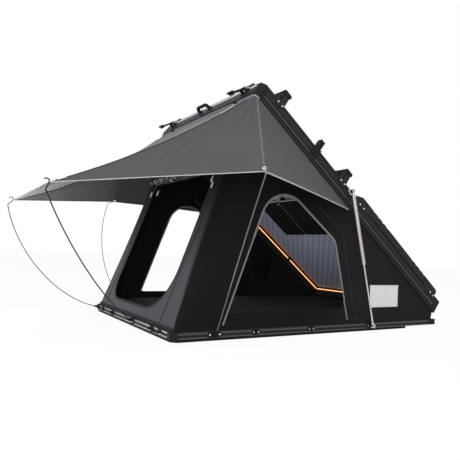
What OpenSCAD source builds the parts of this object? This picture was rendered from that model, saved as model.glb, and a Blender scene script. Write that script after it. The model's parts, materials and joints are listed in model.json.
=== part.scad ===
// Hard-shell wedge roof top tent, drawn open: an extruded base tray, a hinged roof held up by gas
// struts, canvas walls with three doors, and a rear awning stretched by four spring-steel rods.
// X points to the hinge at the front, Y across, Z up. The origin is the centre of the underside.
// Roof pieces are drawn with the roof closed and then turned about the hinge.

/* [Base tray] */
// Length of the base tray
base_l = 2200; // [2100:10:2300]
// Width of the base tray and of the roof
base_w = 1400; // [1350:10:1480]
// Height of the base rail
base_rail_h = 40; // [38:1:50]
// Width of every rail
rail_t = 30; // [28:1:36]
// Wall of the extruded rails
rail_wall = 2.5; // [2:0.1:3]
// Height of the trim and channels below the base rail
underside_h = 16; // [14:1:24]
// Step from the rail's lower edge up to the floor panel
floor_lift = 6; // [4:1:10]
// Thickness of the floor panel
floor_t = 10; // [8:1:14]
// Leg of the chamfered corner blocks
corner_leg = 62; // [56:1:80]
// Chamfer of the rear corner blocks
corner_cut = 30; // [20:1:40]
// Chamfer of the front corner blocks
front_cut = 8; // [4:1:14]
// How far the base's front corner blocks stand in front of its front rail
base_nose = 24; // [16:1:30]
// How far the roof's front corner blocks stand in front of its front rail
roof_nose = 6; // [3:1:10]
// Width of the face grooves of the base rail
base_groove_w = 4; // [3:0.5:5]
// Depth of the face grooves of the base rail
base_groove_d = 4; // [3:0.5:5]
// Thickness of the lower trim
trim_t = 12; // [8:1:16]
// Length of the lower trim on the sides
trim_l = 1820; // [1500:10:1900]

/* [Mounting channels] */
// Distance between the two mounting channels
channel_gap = 800; // [700:10:900]
// Length of a mounting channel
channel_l = 1800; // [1500:10:1900]
// Width of a mounting channel
channel_w = 60; // [50:1:80]
// Wall of a mounting channel
channel_wall = 4; // [3:0.5:5]
// Distance between the bolt holes along a channel
bolt_pitch = 900; // [700:10:1200]
// Diameter of the bolt holes
bolt_hole_d = 9; // [8.5:0.5:11]

/* [Roof shell] */
// Height of the roof rail
roof_h = 100; // [95:1:115]
// Gap between the base rail and the closed roof
seam_gap = 4; // [3.5:0.5:8]
// How far the roof reaches past the base at the rear
rear_overhang = 10; // [6:1:16]
// Thickness of the roof panel
panel_t = 1.6; // [1.2:0.1:2.5]
// Height of the fittings' groove above the rail's lower edge
slot_z = 84; // [80:1:86]
// Width of the fittings' groove
slot_w = 8; // [6:0.5:9]
// Depth of the face grooves of the roof rail
slot_d = 4; // [3:0.5:5]
// Height of the lower groove above the rail's lower edge
low_groove_z = 18; // [14:1:24]
// Thickness of the quilted liner
liner_t = 16; // [12:1:20]
// Rise of each quilted diamond
quilt_rise = 6; // [3:0.5:8]
// Quilted diamonds along the liner
quilt_n = 18; // [12:1:18]
// Quilted diamonds across the liner
quilt_m = 14; // [8:1:14]
// Opening angle of the roof
open_angle = 38; // [34:1:40]

/* [Hinges] */
// Distance of the hinge line in front of the base
hinge_reach = 70; // [66:1:80]
// Height of the hinge line above the closed seam's lower edge
hinge_rise = 16; // [14:1:18]
// Diameter of the hinge pins
hinge_pin_d = 12; // [10:0.5:14]
// Width of a hinge
hinge_w = 120; // [100:1:140]
// Distance of the outer hinges from the middle
hinge_y = 450; // [400:10:480]
// Thickness of the hinge plates
hinge_plate = 5; // [4:0.5:6]

/* [Gas struts] */
// Diameter of a strut cylinder
strut_d = 28; // [24:1:30]
// Diameter of a strut rod
strut_rod_d = 14; // [10:1:14]
// Length of a strut cylinder
strut_cyl_l = 480; // [460:5:490]
// Distance of the strut's upper eye from the roof's front end
strut_u = 1260; // [1240:5:1280]
// Place of the strut's foot along the base
strut_foot_x = 403; // [395:1:430]
// Distance of the strut's axis from the rail's face
strut_off = 31; // [30:0.5:36]
// Diameter of the strut pins
strut_pin_d = 10; // [8:0.5:11]

/* [Canvas] */
// Thickness of the canvas walls
canvas_t = 2; // [1.5:0.1:3]
// Height of the door sills above the base rail
sill_h = 94; // [80:1:100]
// Length of the rolled rear door
roll_l = 960; // [900:10:1000]
// Radius of the rolled rear door
roll_r = 26; // [20:1:30]
// Radius of the rolled side doors
side_roll_r = 16; // [12:1:20]
// Half width of the rear door
rear_door_half = 465; // [420:5:500]
// Height of the rear door along its wall
rear_door_l = 920; // [880:10:940]
// Thickness of the mattress at its edge
mattress_h = 72; // [60:1:74]
// Crown of the mattress
mattress_crown = 16; // [8:1:18]
// Depth of the sewn channels of the mattress
mattress_channel = 5; // [3:0.5:8]
// Sewn fields along the mattress
mattress_fields = 6; // [4:1:6]
// Draw-in of the mattress sides
mattress_draw = 12; // [6:1:20]

/* [Awning] */
// Reach of the awning behind the base
awning_reach = 666; // [640:1:720]
// Half width of the awning's rear edge
awning_half = 588; // [540:1:620]
// Height of the awning's rear corners
awning_z = 803; // [760:1:830]
// Distance of the side corners from the rail's face
wing_reach = 466; // [430:1:480]
// Height of the side corners
wing_z = 905; // [890:1:920]
// Place of the side corners behind the middle of the base
wing_x = 865; // [840:1:890]
// Distance of the awning's front ends from the roof's front end
awning_u = 1166; // [1140:1:1180]
// Sag of the awning's ridges from the roof's corners to the rear corners
ridge_sag = 48; // [30:1:60]
// Sag of the awning's ridges from the roof's corners to the side corners
wing_sag = 8; // [4:1:20]
// Further sag of the awning between its ridges
awning_sag = 14; // [8:1:30]
// Inward curve of the hems
hem_scallop = 16; // [5:1:30]
// Thickness of the awning, measured upright
awning_t = 3; // [2:0.5:4]
// Diameter of the awning rods
rod_d = 6.5; // [6:0.5:8]

/* [Roof fittings] */
// Distance of the rear crossbar from the roof's rear end
bar_rear_in = 170; // [150:5:190]
// Distance of the middle crossbar from the roof's front end
bar_mid_u = 1350; // [1335:5:1370]
// Length of a crossbar section along the roof
bar_l = 70; // [60:1:80]
// Thickness of a crossbar section
bar_t = 26; // [22:1:30]
// Space between the roof and the crossbars
bar_clear = 58; // [45:1:60]
// Thickness of the foot plates
foot_t = 6; // [5:0.5:8]
// Distance of the accessory brackets from the roof's rear end
clamp_in = 565; // [510:5:610]
// Upper end of the fairing plates from the roof's front end
fairing_u1 = 1195; // [1185:5:1200]
// Lower end of the fairing plates from the roof's front end
fairing_u0 = 85; // [80:5:120]
// Thickness of the fairing plates
fairing_t = 4; // [3:0.5:5]
// Height of the fairing plates above the roof
fairing_rise = 42; // [36:1:50]
// Distance of the latches from the middle
latch_y = 535; // [500:5:560]
// Diameter of the latch pins
latch_pin_d = 8; // [6:0.5:9]
// Swing of the latch levers away from the keepers
latch_out = 25; // [20:1:30]
// Half span of the grab handle
handle_half = 70; // [60:1:90]
// Radius of the grab handle's bar
handle_r = 12; // [9:0.5:13]
// Reach of the grab handle
handle_reach = 52; // [50:1:60]

/* [Hidden] */

$fn = 40;
// Gap between pieces that are fixed to each other
fit_gap = 0.2;
// Gap between pieces that move past each other
run_gap = 0.4;
// Radial play of a pin in its eye
pin_play = 0.06;
// Overrun of a cut past the face it opens
over = 1;

half_l = base_l / 2;
half_w = base_w / 2;
rail_top = underside_h + base_rail_h;
roof_z = rail_top + seam_gap;
roof_top = roof_z + roof_h;
roof_rear = -half_l - rear_overhang;
hinge_x = half_l + hinge_reach;
hinge_z = rail_top + hinge_rise;
floor_z = underside_h + floor_lift;
floor_top = floor_z + floor_t;
roof_l = base_l + rear_overhang;
bar_rear_u = roof_l - bar_rear_in;
clamp_u = roof_l - clamp_in;

metal_black = [0.09, 0.09, 0.1];
plastic_black = [0.05, 0.05, 0.05];
canvas_black = [0.13, 0.13, 0.14];
awning_grey = [0.3, 0.3, 0.31];
bright = [0.8, 0.8, 0.78];

// Geometry helpers

// Point of the closed roof, moved to where the open roof has it
function opened(p) = [
    hinge_x + (p.x - hinge_x) * cos(open_angle) + (p.z - hinge_z) * sin(open_angle),
    p.y,
    hinge_z - (p.x - hinge_x) * sin(open_angle) + (p.z - hinge_z) * cos(open_angle)];
function mirrored(p) = [p.x, -p.y, p.z];
function mix(a, b, t) = a + (b - a) * t;
function unit(v) = v / norm(v);
function reversed(v) = [for (i = [len(v) - 1 : -1 : 0]) v[i]];

// Arc of radius r that rounds the corner b between its neighbours a and c
function corner_arc(a, b, c, r, steps = 8) =
    let (
        u1 = unit(a - b),
        u2 = unit(c - b),
        half = acos(u1 * u2) / 2,
        centre = b + unit(u1 + u2) * r / sin(half),
        from = b + u1 * r / tan(half) - centre,
        to = b + u2 * r / tan(half) - centre,
        a0 = atan2(from.y, from.x),
        turn = (atan2(to.y, to.x) - a0 + 540) % 360 - 180)
    [for (i = [0 : steps]) centre + r * [cos(a0 + turn * i / steps), sin(a0 + turn * i / steps)]];

// Polygon of straight edges with each corner rounded by its own radius
function rounded(points, radii) =
    let (n = len(points))
    [for (i = [0 : n - 1])
        each corner_arc(points[(i + n - 1) % n], points[i], points[(i + 1) % n], radii[i])];

function bezier(c, t) =
    pow(1 - t, 3) * c[0] + 3 * pow(1 - t, 2) * t * c[1] + 3 * (1 - t) * t * t * c[2] + pow(t, 3) * c[3];

module open_roof() {
    translate([hinge_x, 0, hinge_z]) rotate([0, open_angle, 0]) translate([-hinge_x, 0, -hinge_z])
        children();
}

module both_sides() {
    children();
    mirror([0, 1, 0]) children();
}

// Cylinder along Y between two values
module rod_y(x, y0, y1, z, r) {
    translate([x, y0, z]) rotate([-90, 0, 0]) cylinder(r = r, h = y1 - y0);
}

// Outline drawn in X and Z, with its thickness along Y from y0 to y1
module plate_xz(y0, y1) {
    translate([0, y1, 0]) rotate([90, 0, 0]) linear_extrude(y1 - y0) children();
}

// Round-headed bolt on a face that looks along -Y, with a hexagon socket
module bolt_near(x, z, y, r = 6, h = 4) {
    translate([x, y, z]) rotate([90, 0, 0]) difference() {
        cylinder(r = r, h = h);
        translate([0, 0, h / 2]) cylinder(r = r / 2, h = h, $fn = 6);
    }
}

// Closed solid between two grids of equal size, upper and lower
module grid_solid(upper, lower) {
    n = len(upper);
    m = len(upper[0]);
    points = concat([for (row = upper) each row], [for (row = lower) each row]);
    k = n * m;
    faces = concat(
        [for (i = [0 : n - 2], j = [0 : m - 2]) each
            let (a = i * m + j) [[a, a + 1, a + m], [a + 1, a + m + 1, a + m]]],
        [for (i = [0 : n - 2], j = [0 : m - 2]) each
            let (a = k + i * m + j) [[a, a + m, a + 1], [a + 1, a + m, a + m + 1]]],
        [for (i = [0 : n - 2]) each
            let (a = i * m, b = k + i * m) [[a, a + m, b], [b, a + m, b + m]]],
        [for (i = [0 : n - 2]) each
            let (a = i * m + m - 1, b = k + a) [[a, b, a + m], [b, b + m, a + m]]],
        [for (j = [0 : m - 2]) each
            let (b = k + j) [[j, b, j + 1], [b, b + 1, j + 1]]],
        [for (j = [0 : m - 2]) each
            let (a = (n - 1) * m + j, b = k + a) [[a, a + 1, b], [b, a + 1, b + 1]]]);
    polyhedron(points, faces);
}

// Rod of round section along a path, with its section turned from a fixed side direction
module swept_rod(path, r, side, sides = 8) {
    n = len(path);
    rings = [for (i = [0 : n - 1])
        let (
            ahead = unit(path[min(i + 1, n - 1)] - path[max(i - 1, 0)]),
            across = unit(cross(ahead, side)),
            rise = cross(across, ahead))
        for (k = [0 : sides - 1])
            path[i] + r * (cos(k * 360 / sides) * across + sin(k * 360 / sides) * rise)];
    walls = [for (i = [0 : n - 2], k = [0 : sides - 1]) each
        let (a = i * sides + k, b = i * sides + (k + 1) % sides)
        [[a, b, a + sides], [b, b + sides, a + sides]]];
    ends = concat(
        [for (k = [1 : sides - 2]) [0, k + 1, k]],
        [for (k = [1 : sides - 2]) let (a = (n - 1) * sides) [a, a + k, a + k + 1]]);
    polyhedron(rings, concat(walls, ends));
}

// Base tray

module base_section() {
    difference() {
        translate([-rail_t, 0]) square([rail_t, base_rail_h]);
        translate([-rail_t + rail_wall, rail_wall])
            square([rail_t - base_groove_d - 2 * rail_wall, base_rail_h - 2 * rail_wall]);
        for (k = [1, 2])
            translate([-base_groove_d, base_rail_h * k / 3 - base_groove_w / 2])
                square([base_groove_d + over, base_groove_w]);
    }
}

// Extrusion along X with its outer face towards -Y
module side_run(x0, x1, z) {
    translate([x0, -half_w, z]) rotate([90, 0, 90]) linear_extrude(x1 - x0) mirror([1, 0]) children();
}

// Extrusion along Y with its outer face towards -X
module end_run(x, y0, y1, z) {
    translate([x, y1, z]) rotate([90, 0, 0]) linear_extrude(y1 - y0) mirror([1, 0]) children();
}

module base_rail_near() {
    color(metal_black)
        side_run(-half_l + corner_leg + fit_gap, half_l - corner_leg - fit_gap, underside_h) base_section();
}

module base_rail_far() {
    color(metal_black) mirror([0, 1, 0])
        side_run(-half_l + corner_leg + fit_gap, half_l - corner_leg - fit_gap, underside_h) base_section();
}

module base_rail_rear() {
    reach = half_w - corner_leg - fit_gap;
    color(metal_black) end_run(-half_l, -reach, reach, underside_h) base_section();
}

module base_rail_front() {
    reach = half_w - corner_leg - fit_gap;
    color(metal_black) mirror([1, 0, 0]) end_run(-half_l, -reach, reach, underside_h) base_section();
}

// Angle-shaped corner block at a rear near corner, with the outer corner cut off
module rear_corner_block(x, h) {
    translate([x, -half_w, 0]) linear_extrude(h)
        polygon([
            [corner_cut, 0], [corner_leg, 0], [corner_leg, rail_t], [rail_t, rail_t],
            [rail_t, corner_leg], [0, corner_leg], [0, corner_cut]]);
}

// Angle-shaped corner block at the front near corner, whose side leg ends in a nose
module front_corner_block(h, nose) {
    translate([half_l, -half_w, 0]) linear_extrude(h)
        polygon([
            [nose - front_cut, 0], [nose, front_cut], [nose, rail_t], [0, rail_t], [0, corner_leg],
            [-rail_t, corner_leg], [-rail_t, rail_t], [-corner_leg, rail_t], [-corner_leg, 0]]);
}

module base_corner_blocks() {
    color(plastic_black) translate([0, 0, underside_h]) both_sides() {
        rear_corner_block(-half_l, base_rail_h);
        front_corner_block(base_rail_h, base_nose);
    }
}

module trim_section() {
    rib = underside_h / 5;
    difference() {
        translate([-trim_t, 0]) square([trim_t, underside_h - fit_gap]);
        for (k = [1, 3])
            translate([-rib / 2, rib * k]) square([rib, rib]);
    }
}

module lower_trim() {
    inset = 3;
    color(plastic_black) {
        both_sides() translate([0, inset, 0]) {
            side_run(-half_l + corner_leg, -half_l + corner_leg + trim_l, 0) trim_section();
            rear_corner_block(-half_l + inset, underside_h - fit_gap);
        }
        end_run(-half_l + inset, -half_w + corner_leg, half_w - corner_leg, 0) trim_section();
    }
}

module mount_channels() {
    h = floor_z - fit_gap;
    color("silver") both_sides() translate([0, -channel_gap / 2, 0]) difference() {
        translate([-channel_l / 2, -channel_w / 2, 0]) cube([channel_l, channel_w, h]);
        translate([-channel_l / 2 - over, -channel_w / 2 + channel_wall, channel_wall])
            cube([channel_l + 2 * over, channel_w - 2 * channel_wall, h - 2 * channel_wall]);
        for (x = [-bolt_pitch / 2, bolt_pitch / 2])
            translate([x, 0, -over]) cylinder(d = bolt_hole_d, h = channel_wall + 2 * over);
    }
}

module floor_panel() {
    gap = rail_t + fit_gap;
    color("dimgray") translate([-half_l + gap, -half_w + gap, floor_z])
        cube([base_l - 2 * gap, base_w - 2 * gap, floor_t]);
}

module rail_seal() {
    inset = 2;
    seal_w = 8;
    seal_h = seam_gap - run_gap;
    color(plastic_black) translate([0, 0, rail_top]) difference() {
        translate([-half_l + rail_t - inset - seal_w, -half_w + rail_t - inset - seal_w, 0])
            cube([
                base_l - 2 * (rail_t - inset - seal_w), base_w - 2 * (rail_t - inset - seal_w), seal_h]);
        translate([-half_l + rail_t - inset, -half_w + rail_t - inset, -over])
            cube([base_l - 2 * (rail_t - inset), base_w - 2 * (rail_t - inset), seal_h + 2 * over]);
    }
}

// Foam mattress with a crown, sewn cross channels and sides drawn in between its corners
mattress_gap = 14;
mattress_l = base_l - 2 * (rail_t + mattress_gap);
mattress_w = base_w - 2 * (rail_t + mattress_gap);
function mattress_edge(t) = mattress_draw * (1 - pow(2 * t - 1, 2));
function mattress_point(s, t, upper) =
    let (
        x = mattress_l * (s - 0.5) * (1 - 2 * mattress_edge(t) / mattress_l),
        y = mattress_w * (t - 0.5) * (1 - 2 * mattress_edge(s) / mattress_w),
        dome = (1 - pow(2 * s - 1, 4)) * (1 - pow(2 * t - 1, 4)),
        crease = pow(1 - abs(sin(180 * mattress_fields * s)), 2) * (1 - pow(2 * t - 1, 4)))
    [x, y, upper ? mattress_h + mattress_crown * dome - mattress_channel * crease : 0];

module mattress() {
    n = 4 * mattress_fields;
    m = 12;
    color("black") translate([0, 0, floor_top + fit_gap])
        grid_solid(
            [for (j = [0 : m]) [for (i = [0 : n]) mattress_point(i / n, j / m, true)]],
            [for (j = [0 : m]) [for (i = [0 : n]) mattress_point(i / n, j / m, false)]]);
}

// Hinges at the front

hinge_boss_r = hinge_pin_d / 2 + 6;
knuckle_t = 12;
roof_knuckle_half = 20;
hinge_places = [-hinge_y, 0, hinge_y];

module hinge_base_leaf() {
    z0 = underside_h + 3;
    z1 = rail_top - 3;
    x0 = half_l + fit_gap;
    difference() {
        union() {
            translate([x0, -hinge_w / 2, z0]) cube([hinge_plate, hinge_w, z1 - z0]);
            for (side = [-1, 1])
                translate([0, side * (roof_knuckle_half + run_gap + knuckle_t / 2), 0])
                    plate_xz(-knuckle_t / 2, knuckle_t / 2) {
                        polygon([
                            [x0, z0], [hinge_x + hinge_boss_r * 0.5, hinge_z - hinge_boss_r * 0.8],
                            [hinge_x - hinge_boss_r * 0.6, hinge_z + hinge_boss_r * 0.7], [x0, z1]]);
                        translate([hinge_x, hinge_z]) circle(r = hinge_boss_r);
                    }
        }
        rod_y(hinge_x, -hinge_w, hinge_w, hinge_z, hinge_pin_d / 2 + fit_gap);
    }
}

module hinge_base_leaves() {
    color(metal_black) for (y = hinge_places) translate([0, y, 0]) hinge_base_leaf();
}

module hinge_pins() {
    reach = roof_knuckle_half + run_gap + knuckle_t + 4;
    color("silver") for (y = hinge_places) rod_y(hinge_x, y - reach, y + reach, hinge_z, hinge_pin_d / 2);
}

module hinge_roof_leaf() {
    z0 = roof_z + 3;
    z1 = roof_top - 12;
    x0 = half_l + fit_gap;
    difference() {
        union() {
            translate([x0, -hinge_w / 2, z0]) cube([hinge_plate, hinge_w, z1 - z0]);
            plate_xz(-roof_knuckle_half, roof_knuckle_half) {
                polygon([
                    [x0, z0], [hinge_x - hinge_boss_r * 0.3, hinge_z - hinge_boss_r * 0.9],
                    [hinge_x + hinge_boss_r * 0.5, hinge_z + hinge_boss_r * 0.8], [x0, z1 - 20]]);
                translate([hinge_x, hinge_z]) circle(r = hinge_boss_r);
            }
        }
        rod_y(hinge_x, -hinge_w, hinge_w, hinge_z, hinge_pin_d / 2 + pin_play);
    }
}

module hinge_roof_leaves() {
    color(metal_black) open_roof() for (y = hinge_places) translate([0, y, 0]) hinge_roof_leaf();
}

// Fittings on the base rails

rail_mid_z = underside_h + base_rail_h / 2;
keeper_z = underside_h + 16;
keeper_reach = 28;
side_rod_x = -839;
rear_rod_far_y = 655;
rear_rod_near_y = -90;
spare_socket_ys = [300, -420];
tie_xs = [-557, -129];
tie_hole_r = 4;
socket_len = 34;
foot_reach = 24;
socket_floor = 3;
socket_r = rod_d / 2 + 5;

module latch_keepers() {
    w = 44;
    color(metal_black) for (y = [-latch_y, latch_y]) translate([0, y, 0]) {
        translate([-half_l - fit_gap - 4, -w / 2, underside_h + 4]) cube([4, w, base_rail_h - 8]);
        translate([-half_l - keeper_reach, -w / 2 + 6, keeper_z])
            cube([keeper_reach - fit_gap - 4, w - 12, 6]);
    }
}

// Routes of the awning rods: foot, two guide points and shoulder, then the bent tip
rear_near_route = [
    [-half_l - foot_reach, rear_rod_near_y - 12, rail_mid_z + 12], [-1330, -210, 176], [-1630, -460, 516],
    [-half_l - awning_reach - 10, -awning_half - 2, awning_z - 30]];
rear_far_route = [
    [-half_l - foot_reach, rear_rod_far_y, rail_mid_z + 4], [-1400, 660, 96], [-1720, 620, 416],
    [-half_l - awning_reach - 26, awning_half + 12, awning_z - 16]];
side_near_route = [
    [side_rod_x, -half_w - foot_reach, rail_mid_z + 12], [-845, -870, 330], [-855, -1020, 620],
    [-wing_x - 4, -half_w - wing_reach - 12, wing_z - 22]];
side_far_route = [
    [side_rod_x, half_w + foot_reach, rail_mid_z + 6], [-930, 1000, 116], [-1000, 1250, 516],
    [-wing_x - 40, half_w + wing_reach + 34, wing_z - 20]];
rear_near_tip = [-half_l - awning_reach - 10, -awning_half - 4, awning_z - 2];
rear_far_tip = [-half_l - awning_reach - 10, awning_half + 4, awning_z - 2];
side_near_tip = [-wing_x, -half_w - wing_reach - 12, wing_z - 2];
side_far_tip = [-wing_x, half_w + wing_reach + 12, wing_z - 2];

function foot_line(route) = unit(route[1] - route[0]);
// Depth of a socket's bore, which leaves a floor in front of the rail's face
function bore_depth(route, out) =
    min(socket_len - socket_floor, (foot_reach - socket_floor) / (foot_line(route) * out));
// Length of rod inside its socket, just short of the floor
function foot_depth(route, out) = bore_depth(route, out) - 1;
// Hook above the awning's corner that keeps the cloth on the rod
function hook_points(tip, out) = [
    tip, tip + [0, 0, 12], tip + out * 5 + [0, 0, 18], tip + out * 14 + [0, 0, 20],
    tip + out * 26 + [0, 0, 15]];
function rod_path(route, tip, out) =
    concat([route[0] - foot_line(route) * foot_depth(route, out)],
        [for (i = [0 : 24]) bezier(route, i / 24)], hook_points(tip, out));

// Turns a piece drawn along +Z so that it runs along a direction
module aim(direction) {
    rotate([0, acos(unit(direction).z), atan2(direction.y, direction.x)]) children();
}

// Blind bore of a socket
module socket_bore(route, out) {
    translate(route[0] - foot_line(route) * bore_depth(route, out)) aim(foot_line(route))
        cylinder(r = rod_d / 2 + run_gap, h = socket_len);
}

// Slanting cup that takes a rod's foot, cut off at the rail's face
module rod_socket(route, out) {
    line = foot_line(route);
    difference() {
        translate(route[0] - line * socket_len) aim(line) cylinder(r = socket_r, h = socket_len);
        socket_bore(route, out);
        children();
    }
}

// Half space behind the rear face of the base rail, cut off every rear fitting
module rear_face_cut() {
    translate([-half_l - fit_gap, -base_w, -base_l / 2]) cube([base_l, 2 * base_w, base_l]);
}

module rear_socket(route) {
    out = [-1, 0, 0];
    rod_socket(route, out) rear_face_cut();
    difference() {
        translate([-half_l - fit_gap - 5, route[0].y - 24, underside_h + 3]) cube([5, 48, base_rail_h - 6]);
        socket_bore(route, out);
    }
}

module rear_rod_sockets() {
    color(plastic_black) {
        rear_socket(rear_near_route);
        rear_socket(rear_far_route);
        for (y = spare_socket_ys)
            rear_socket([for (p = rear_far_route) [p.x, p.y - rear_rod_far_y + y, p.z]]);
    }
}

module near_face_cut() {
    translate([-base_l, -half_w - fit_gap, -base_l / 2]) cube([2 * base_l, 2 * base_w, base_l]);
}

module side_socket(route) {
    out = [0, -1, 0];
    rod_socket(route, out) near_face_cut();
    difference() {
        translate([route[0].x - 40, -half_w - fit_gap - 5, underside_h + 3]) cube([80, 5, base_rail_h - 6]);
        socket_bore(route, out);
    }
}

module side_rod_sockets() {
    color(plastic_black) {
        side_socket(side_near_route);
        mirror([0, 1, 0]) side_socket([for (p = side_far_route) mirrored(p)]);
    }
}

// Small plate with a tab, drilled along the rail for a cord
module side_tie_brackets() {
    tab = 16;
    color(metal_black) both_sides() for (x = tie_xs) translate([x, -half_w - fit_gap, rail_mid_z]) {
        translate([-22, -4, -14]) cube([44, 4, 28]);
        difference() {
            translate([-3, -tab, -9]) cube([6, tab - 4, 18]);
            translate([-4, -tab + 6, 0]) rotate([0, 90, 0]) cylinder(r = tie_hole_r, h = 8);
        }
    }
}

module base_bolts() {
    color(bright) {
        both_sides() for (dx = [-32, 32])
            bolt_near(side_rod_x + dx, rail_mid_z, -half_w - 2 * fit_gap - 5, 5, 3);
        both_sides() for (x = tie_xs, dx = [-16, 16])
            bolt_near(x + dx, rail_mid_z, -half_w - 2 * fit_gap - 4, 4, 3);
        both_sides() for (dx = [-24, 24])
            bolt_near(strut_foot_x + dx, rail_mid_z, -half_w - 2 * fit_gap - strut_plate_t, 5, 3);
    }
}

// Gas struts

strut_y = -half_w - strut_off;
strut_plate_t = 5;
strut_eye_r = strut_d / 2 - 1;
strut_eye_half = 11;
strut_foot = [strut_foot_x, strut_y, rail_mid_z];
strut_top_closed = [half_l - strut_u, strut_y, roof_z + slot_z];
strut_top = opened(strut_top_closed);
strut_len = norm(strut_top - strut_foot);
strut_lean = atan2(strut_top.x - strut_foot.x, strut_top.z - strut_foot.z);
strut_end = 26;
strut_rod_len = strut_len - strut_end - strut_cyl_l + 60;
strut_wall = 2.4;

module strut_base_brackets() {
    boss_end = strut_y + strut_eye_half + run_gap;
    color(metal_black) both_sides() {
        translate([strut_foot_x - 34, -half_w - fit_gap - strut_plate_t, underside_h + 4])
            cube([68, strut_plate_t, base_rail_h - 8]);
        rod_y(strut_foot_x, boss_end, -half_w - fit_gap - strut_plate_t, rail_mid_z, strut_pin_d / 2 + 3);
    }
}

module strut_roof_brackets() {
    color("silver") open_roof() both_sides() {
        translate([strut_top_closed.x - 14, -half_w - fit_gap - strut_plate_t, strut_top_closed.z - 12])
            cube([56, strut_plate_t, 24]);
        rod_y(
            strut_top_closed.x, strut_y - strut_eye_half - 3, -half_w - fit_gap - strut_plate_t,
            strut_top_closed.z, strut_pin_d / 2);
    }
}

// Strut pieces are drawn along +Z from the foot and then leant to the roof's eye
module leant_strut() {
    translate(strut_foot) rotate([0, strut_lean, 0]) children();
}

module strut_cylinder() {
    leant_strut() difference() {
        union() {
            translate([0, 0, strut_len - strut_end - strut_cyl_l]) cylinder(d = strut_d, h = strut_cyl_l);
            translate([0, 0, strut_len - strut_end - over]) cylinder(r = strut_eye_r * 0.7, h = strut_end);
            rod_y(0, -strut_eye_half, strut_eye_half, strut_len, strut_eye_r);
        }
        rod_y(0, -strut_d, strut_d, strut_len, strut_pin_d / 2 + pin_play);
        translate([0, 0, strut_len - strut_end - strut_cyl_l + 14])
            cylinder(d = strut_d - 2 * strut_wall, h = strut_cyl_l - 20);
        translate([0, 0, strut_len - strut_end - strut_cyl_l - over])
            cylinder(d = strut_rod_d + 2 * pin_play, h = 16 + over);
    }
}

module strut_rod() {
    piston_z = strut_end + strut_rod_len - 12;
    leant_strut() {
        difference() {
            union() {
                rod_y(0, -strut_eye_half, strut_eye_half, 0, strut_eye_r);
                translate([0, 0, strut_eye_r * 0.8])
                    cylinder(d = strut_rod_d, h = strut_end + strut_rod_len - 12);
                translate([0, 0, strut_eye_r * 0.8]) cylinder(r = strut_eye_r * 0.75, h = 16);
            }
            rod_y(0, -strut_d, strut_d, 0, strut_pin_d / 2);
        }
        translate([0, 0, piston_z]) cylinder(d = strut_d - 2 * strut_wall - 2 * run_gap, h = 12);
    }
}

module strut_cylinder_near() { color("silver") strut_cylinder(); }
module strut_cylinder_far() { color("silver") mirror([0, 1, 0]) strut_cylinder(); }
module strut_rod_near() { color(bright) strut_rod(); }
module strut_rod_far() { color(bright) mirror([0, 1, 0]) strut_rod(); }

// Canvas walls

wall_inset = rail_t / 2;
wall_y = half_w - wall_inset;
wall_foot_z = rail_top + fit_gap;
wall_rear_foot = [-half_l + wall_inset, 0, wall_foot_z];
wall_rear_head = opened([roof_rear + rail_t - 4, 0, roof_z - run_gap]);
wall_front_head = opened([half_l - wall_inset, 0, roof_z - run_gap]);
wall_front_foot = [half_l - wall_inset, 0, wall_foot_z];
rear_wall_l = norm(wall_rear_head - wall_rear_foot);
rear_wall_lean = atan2(wall_rear_head.x - wall_rear_foot.x, wall_rear_head.z - wall_rear_foot.z);
sill_z = rail_top + sill_h;
// Side door: two leaning jambs and a head that follows the roof
door_rear_foot = -751;
door_front_foot = 186;
door_head_rear = [-444, 985];
door_head_front = [70, 607];
door_outline = rounded(
    [[door_rear_foot, sill_z], [door_front_foot, sill_z], door_head_front, door_head_rear],
    [12, 12, 110, 185]);
// Rear door: its near lower corner is wide and its far one tight, and it leans a little to the near side
rear_door_low = 78;
rear_door_outline = rounded(
    [[-rear_door_half - 27, rear_door_low], [rear_door_half - 10, rear_door_low],
        [rear_door_half + 25, rear_door_low + rear_door_l],
        [-rear_door_half + 25, rear_door_low + rear_door_l]],
    [140, 300, 60, 60]);

module side_wall() {
    plate_xz(-wall_y - canvas_t / 2, -wall_y + canvas_t / 2) difference() {
        polygon([for (p = [wall_rear_foot, wall_front_foot, wall_front_head, wall_rear_head]) [p.x, p.z]]);
        polygon(door_outline);
    }
}

module side_wall_near() { color(canvas_black) side_wall(); }
module side_wall_far() { color(canvas_black) mirror([0, 1, 0]) side_wall(); }

// Draws a piece in the rear wall's own plane: X across, Y up the wall, Z outwards
module on_rear_wall() {
    translate(wall_rear_foot) rotate([0, rear_wall_lean, 0]) rotate([90, 0, -90]) children();
}

module rear_wall() {
    reach = wall_y - canvas_t / 2 - fit_gap;
    color(canvas_black) on_rear_wall() translate([0, 0, -canvas_t]) linear_extrude(canvas_t) difference() {
        translate([-reach, 2]) square([2 * reach, rear_wall_l - 4]);
        polygon(rear_door_outline);
    }
}

module front_gusset() {
    reach = wall_y - canvas_t / 2 - fit_gap;
    run = wall_front_head - wall_front_foot;
    color(canvas_black) plate_xz(-reach, reach)
        polygon([
            [wall_front_foot.x - canvas_t, wall_front_foot.z], [wall_front_foot.x, wall_front_foot.z],
            [wall_front_foot.x + run.x, wall_front_foot.z + run.z - run_gap],
            [wall_front_foot.x + run.x - canvas_t, wall_front_foot.z + run.z - run_gap]]);
}

// Rolled cloth along +Z, drawn in where ties hold it
module cloth_roll(length, r, ties) {
    steps = 40;
    function waist(z) = min([for (t = ties) min(1, abs(z - t) / (2 * r))]);
    rotate_extrude() polygon(concat(
        [[0, 0]],
        [for (i = [0 : steps]) let (z = length * i / steps) [r * (0.82 + 0.18 * waist(z)), z]],
        [[0, length]]));
}

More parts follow.
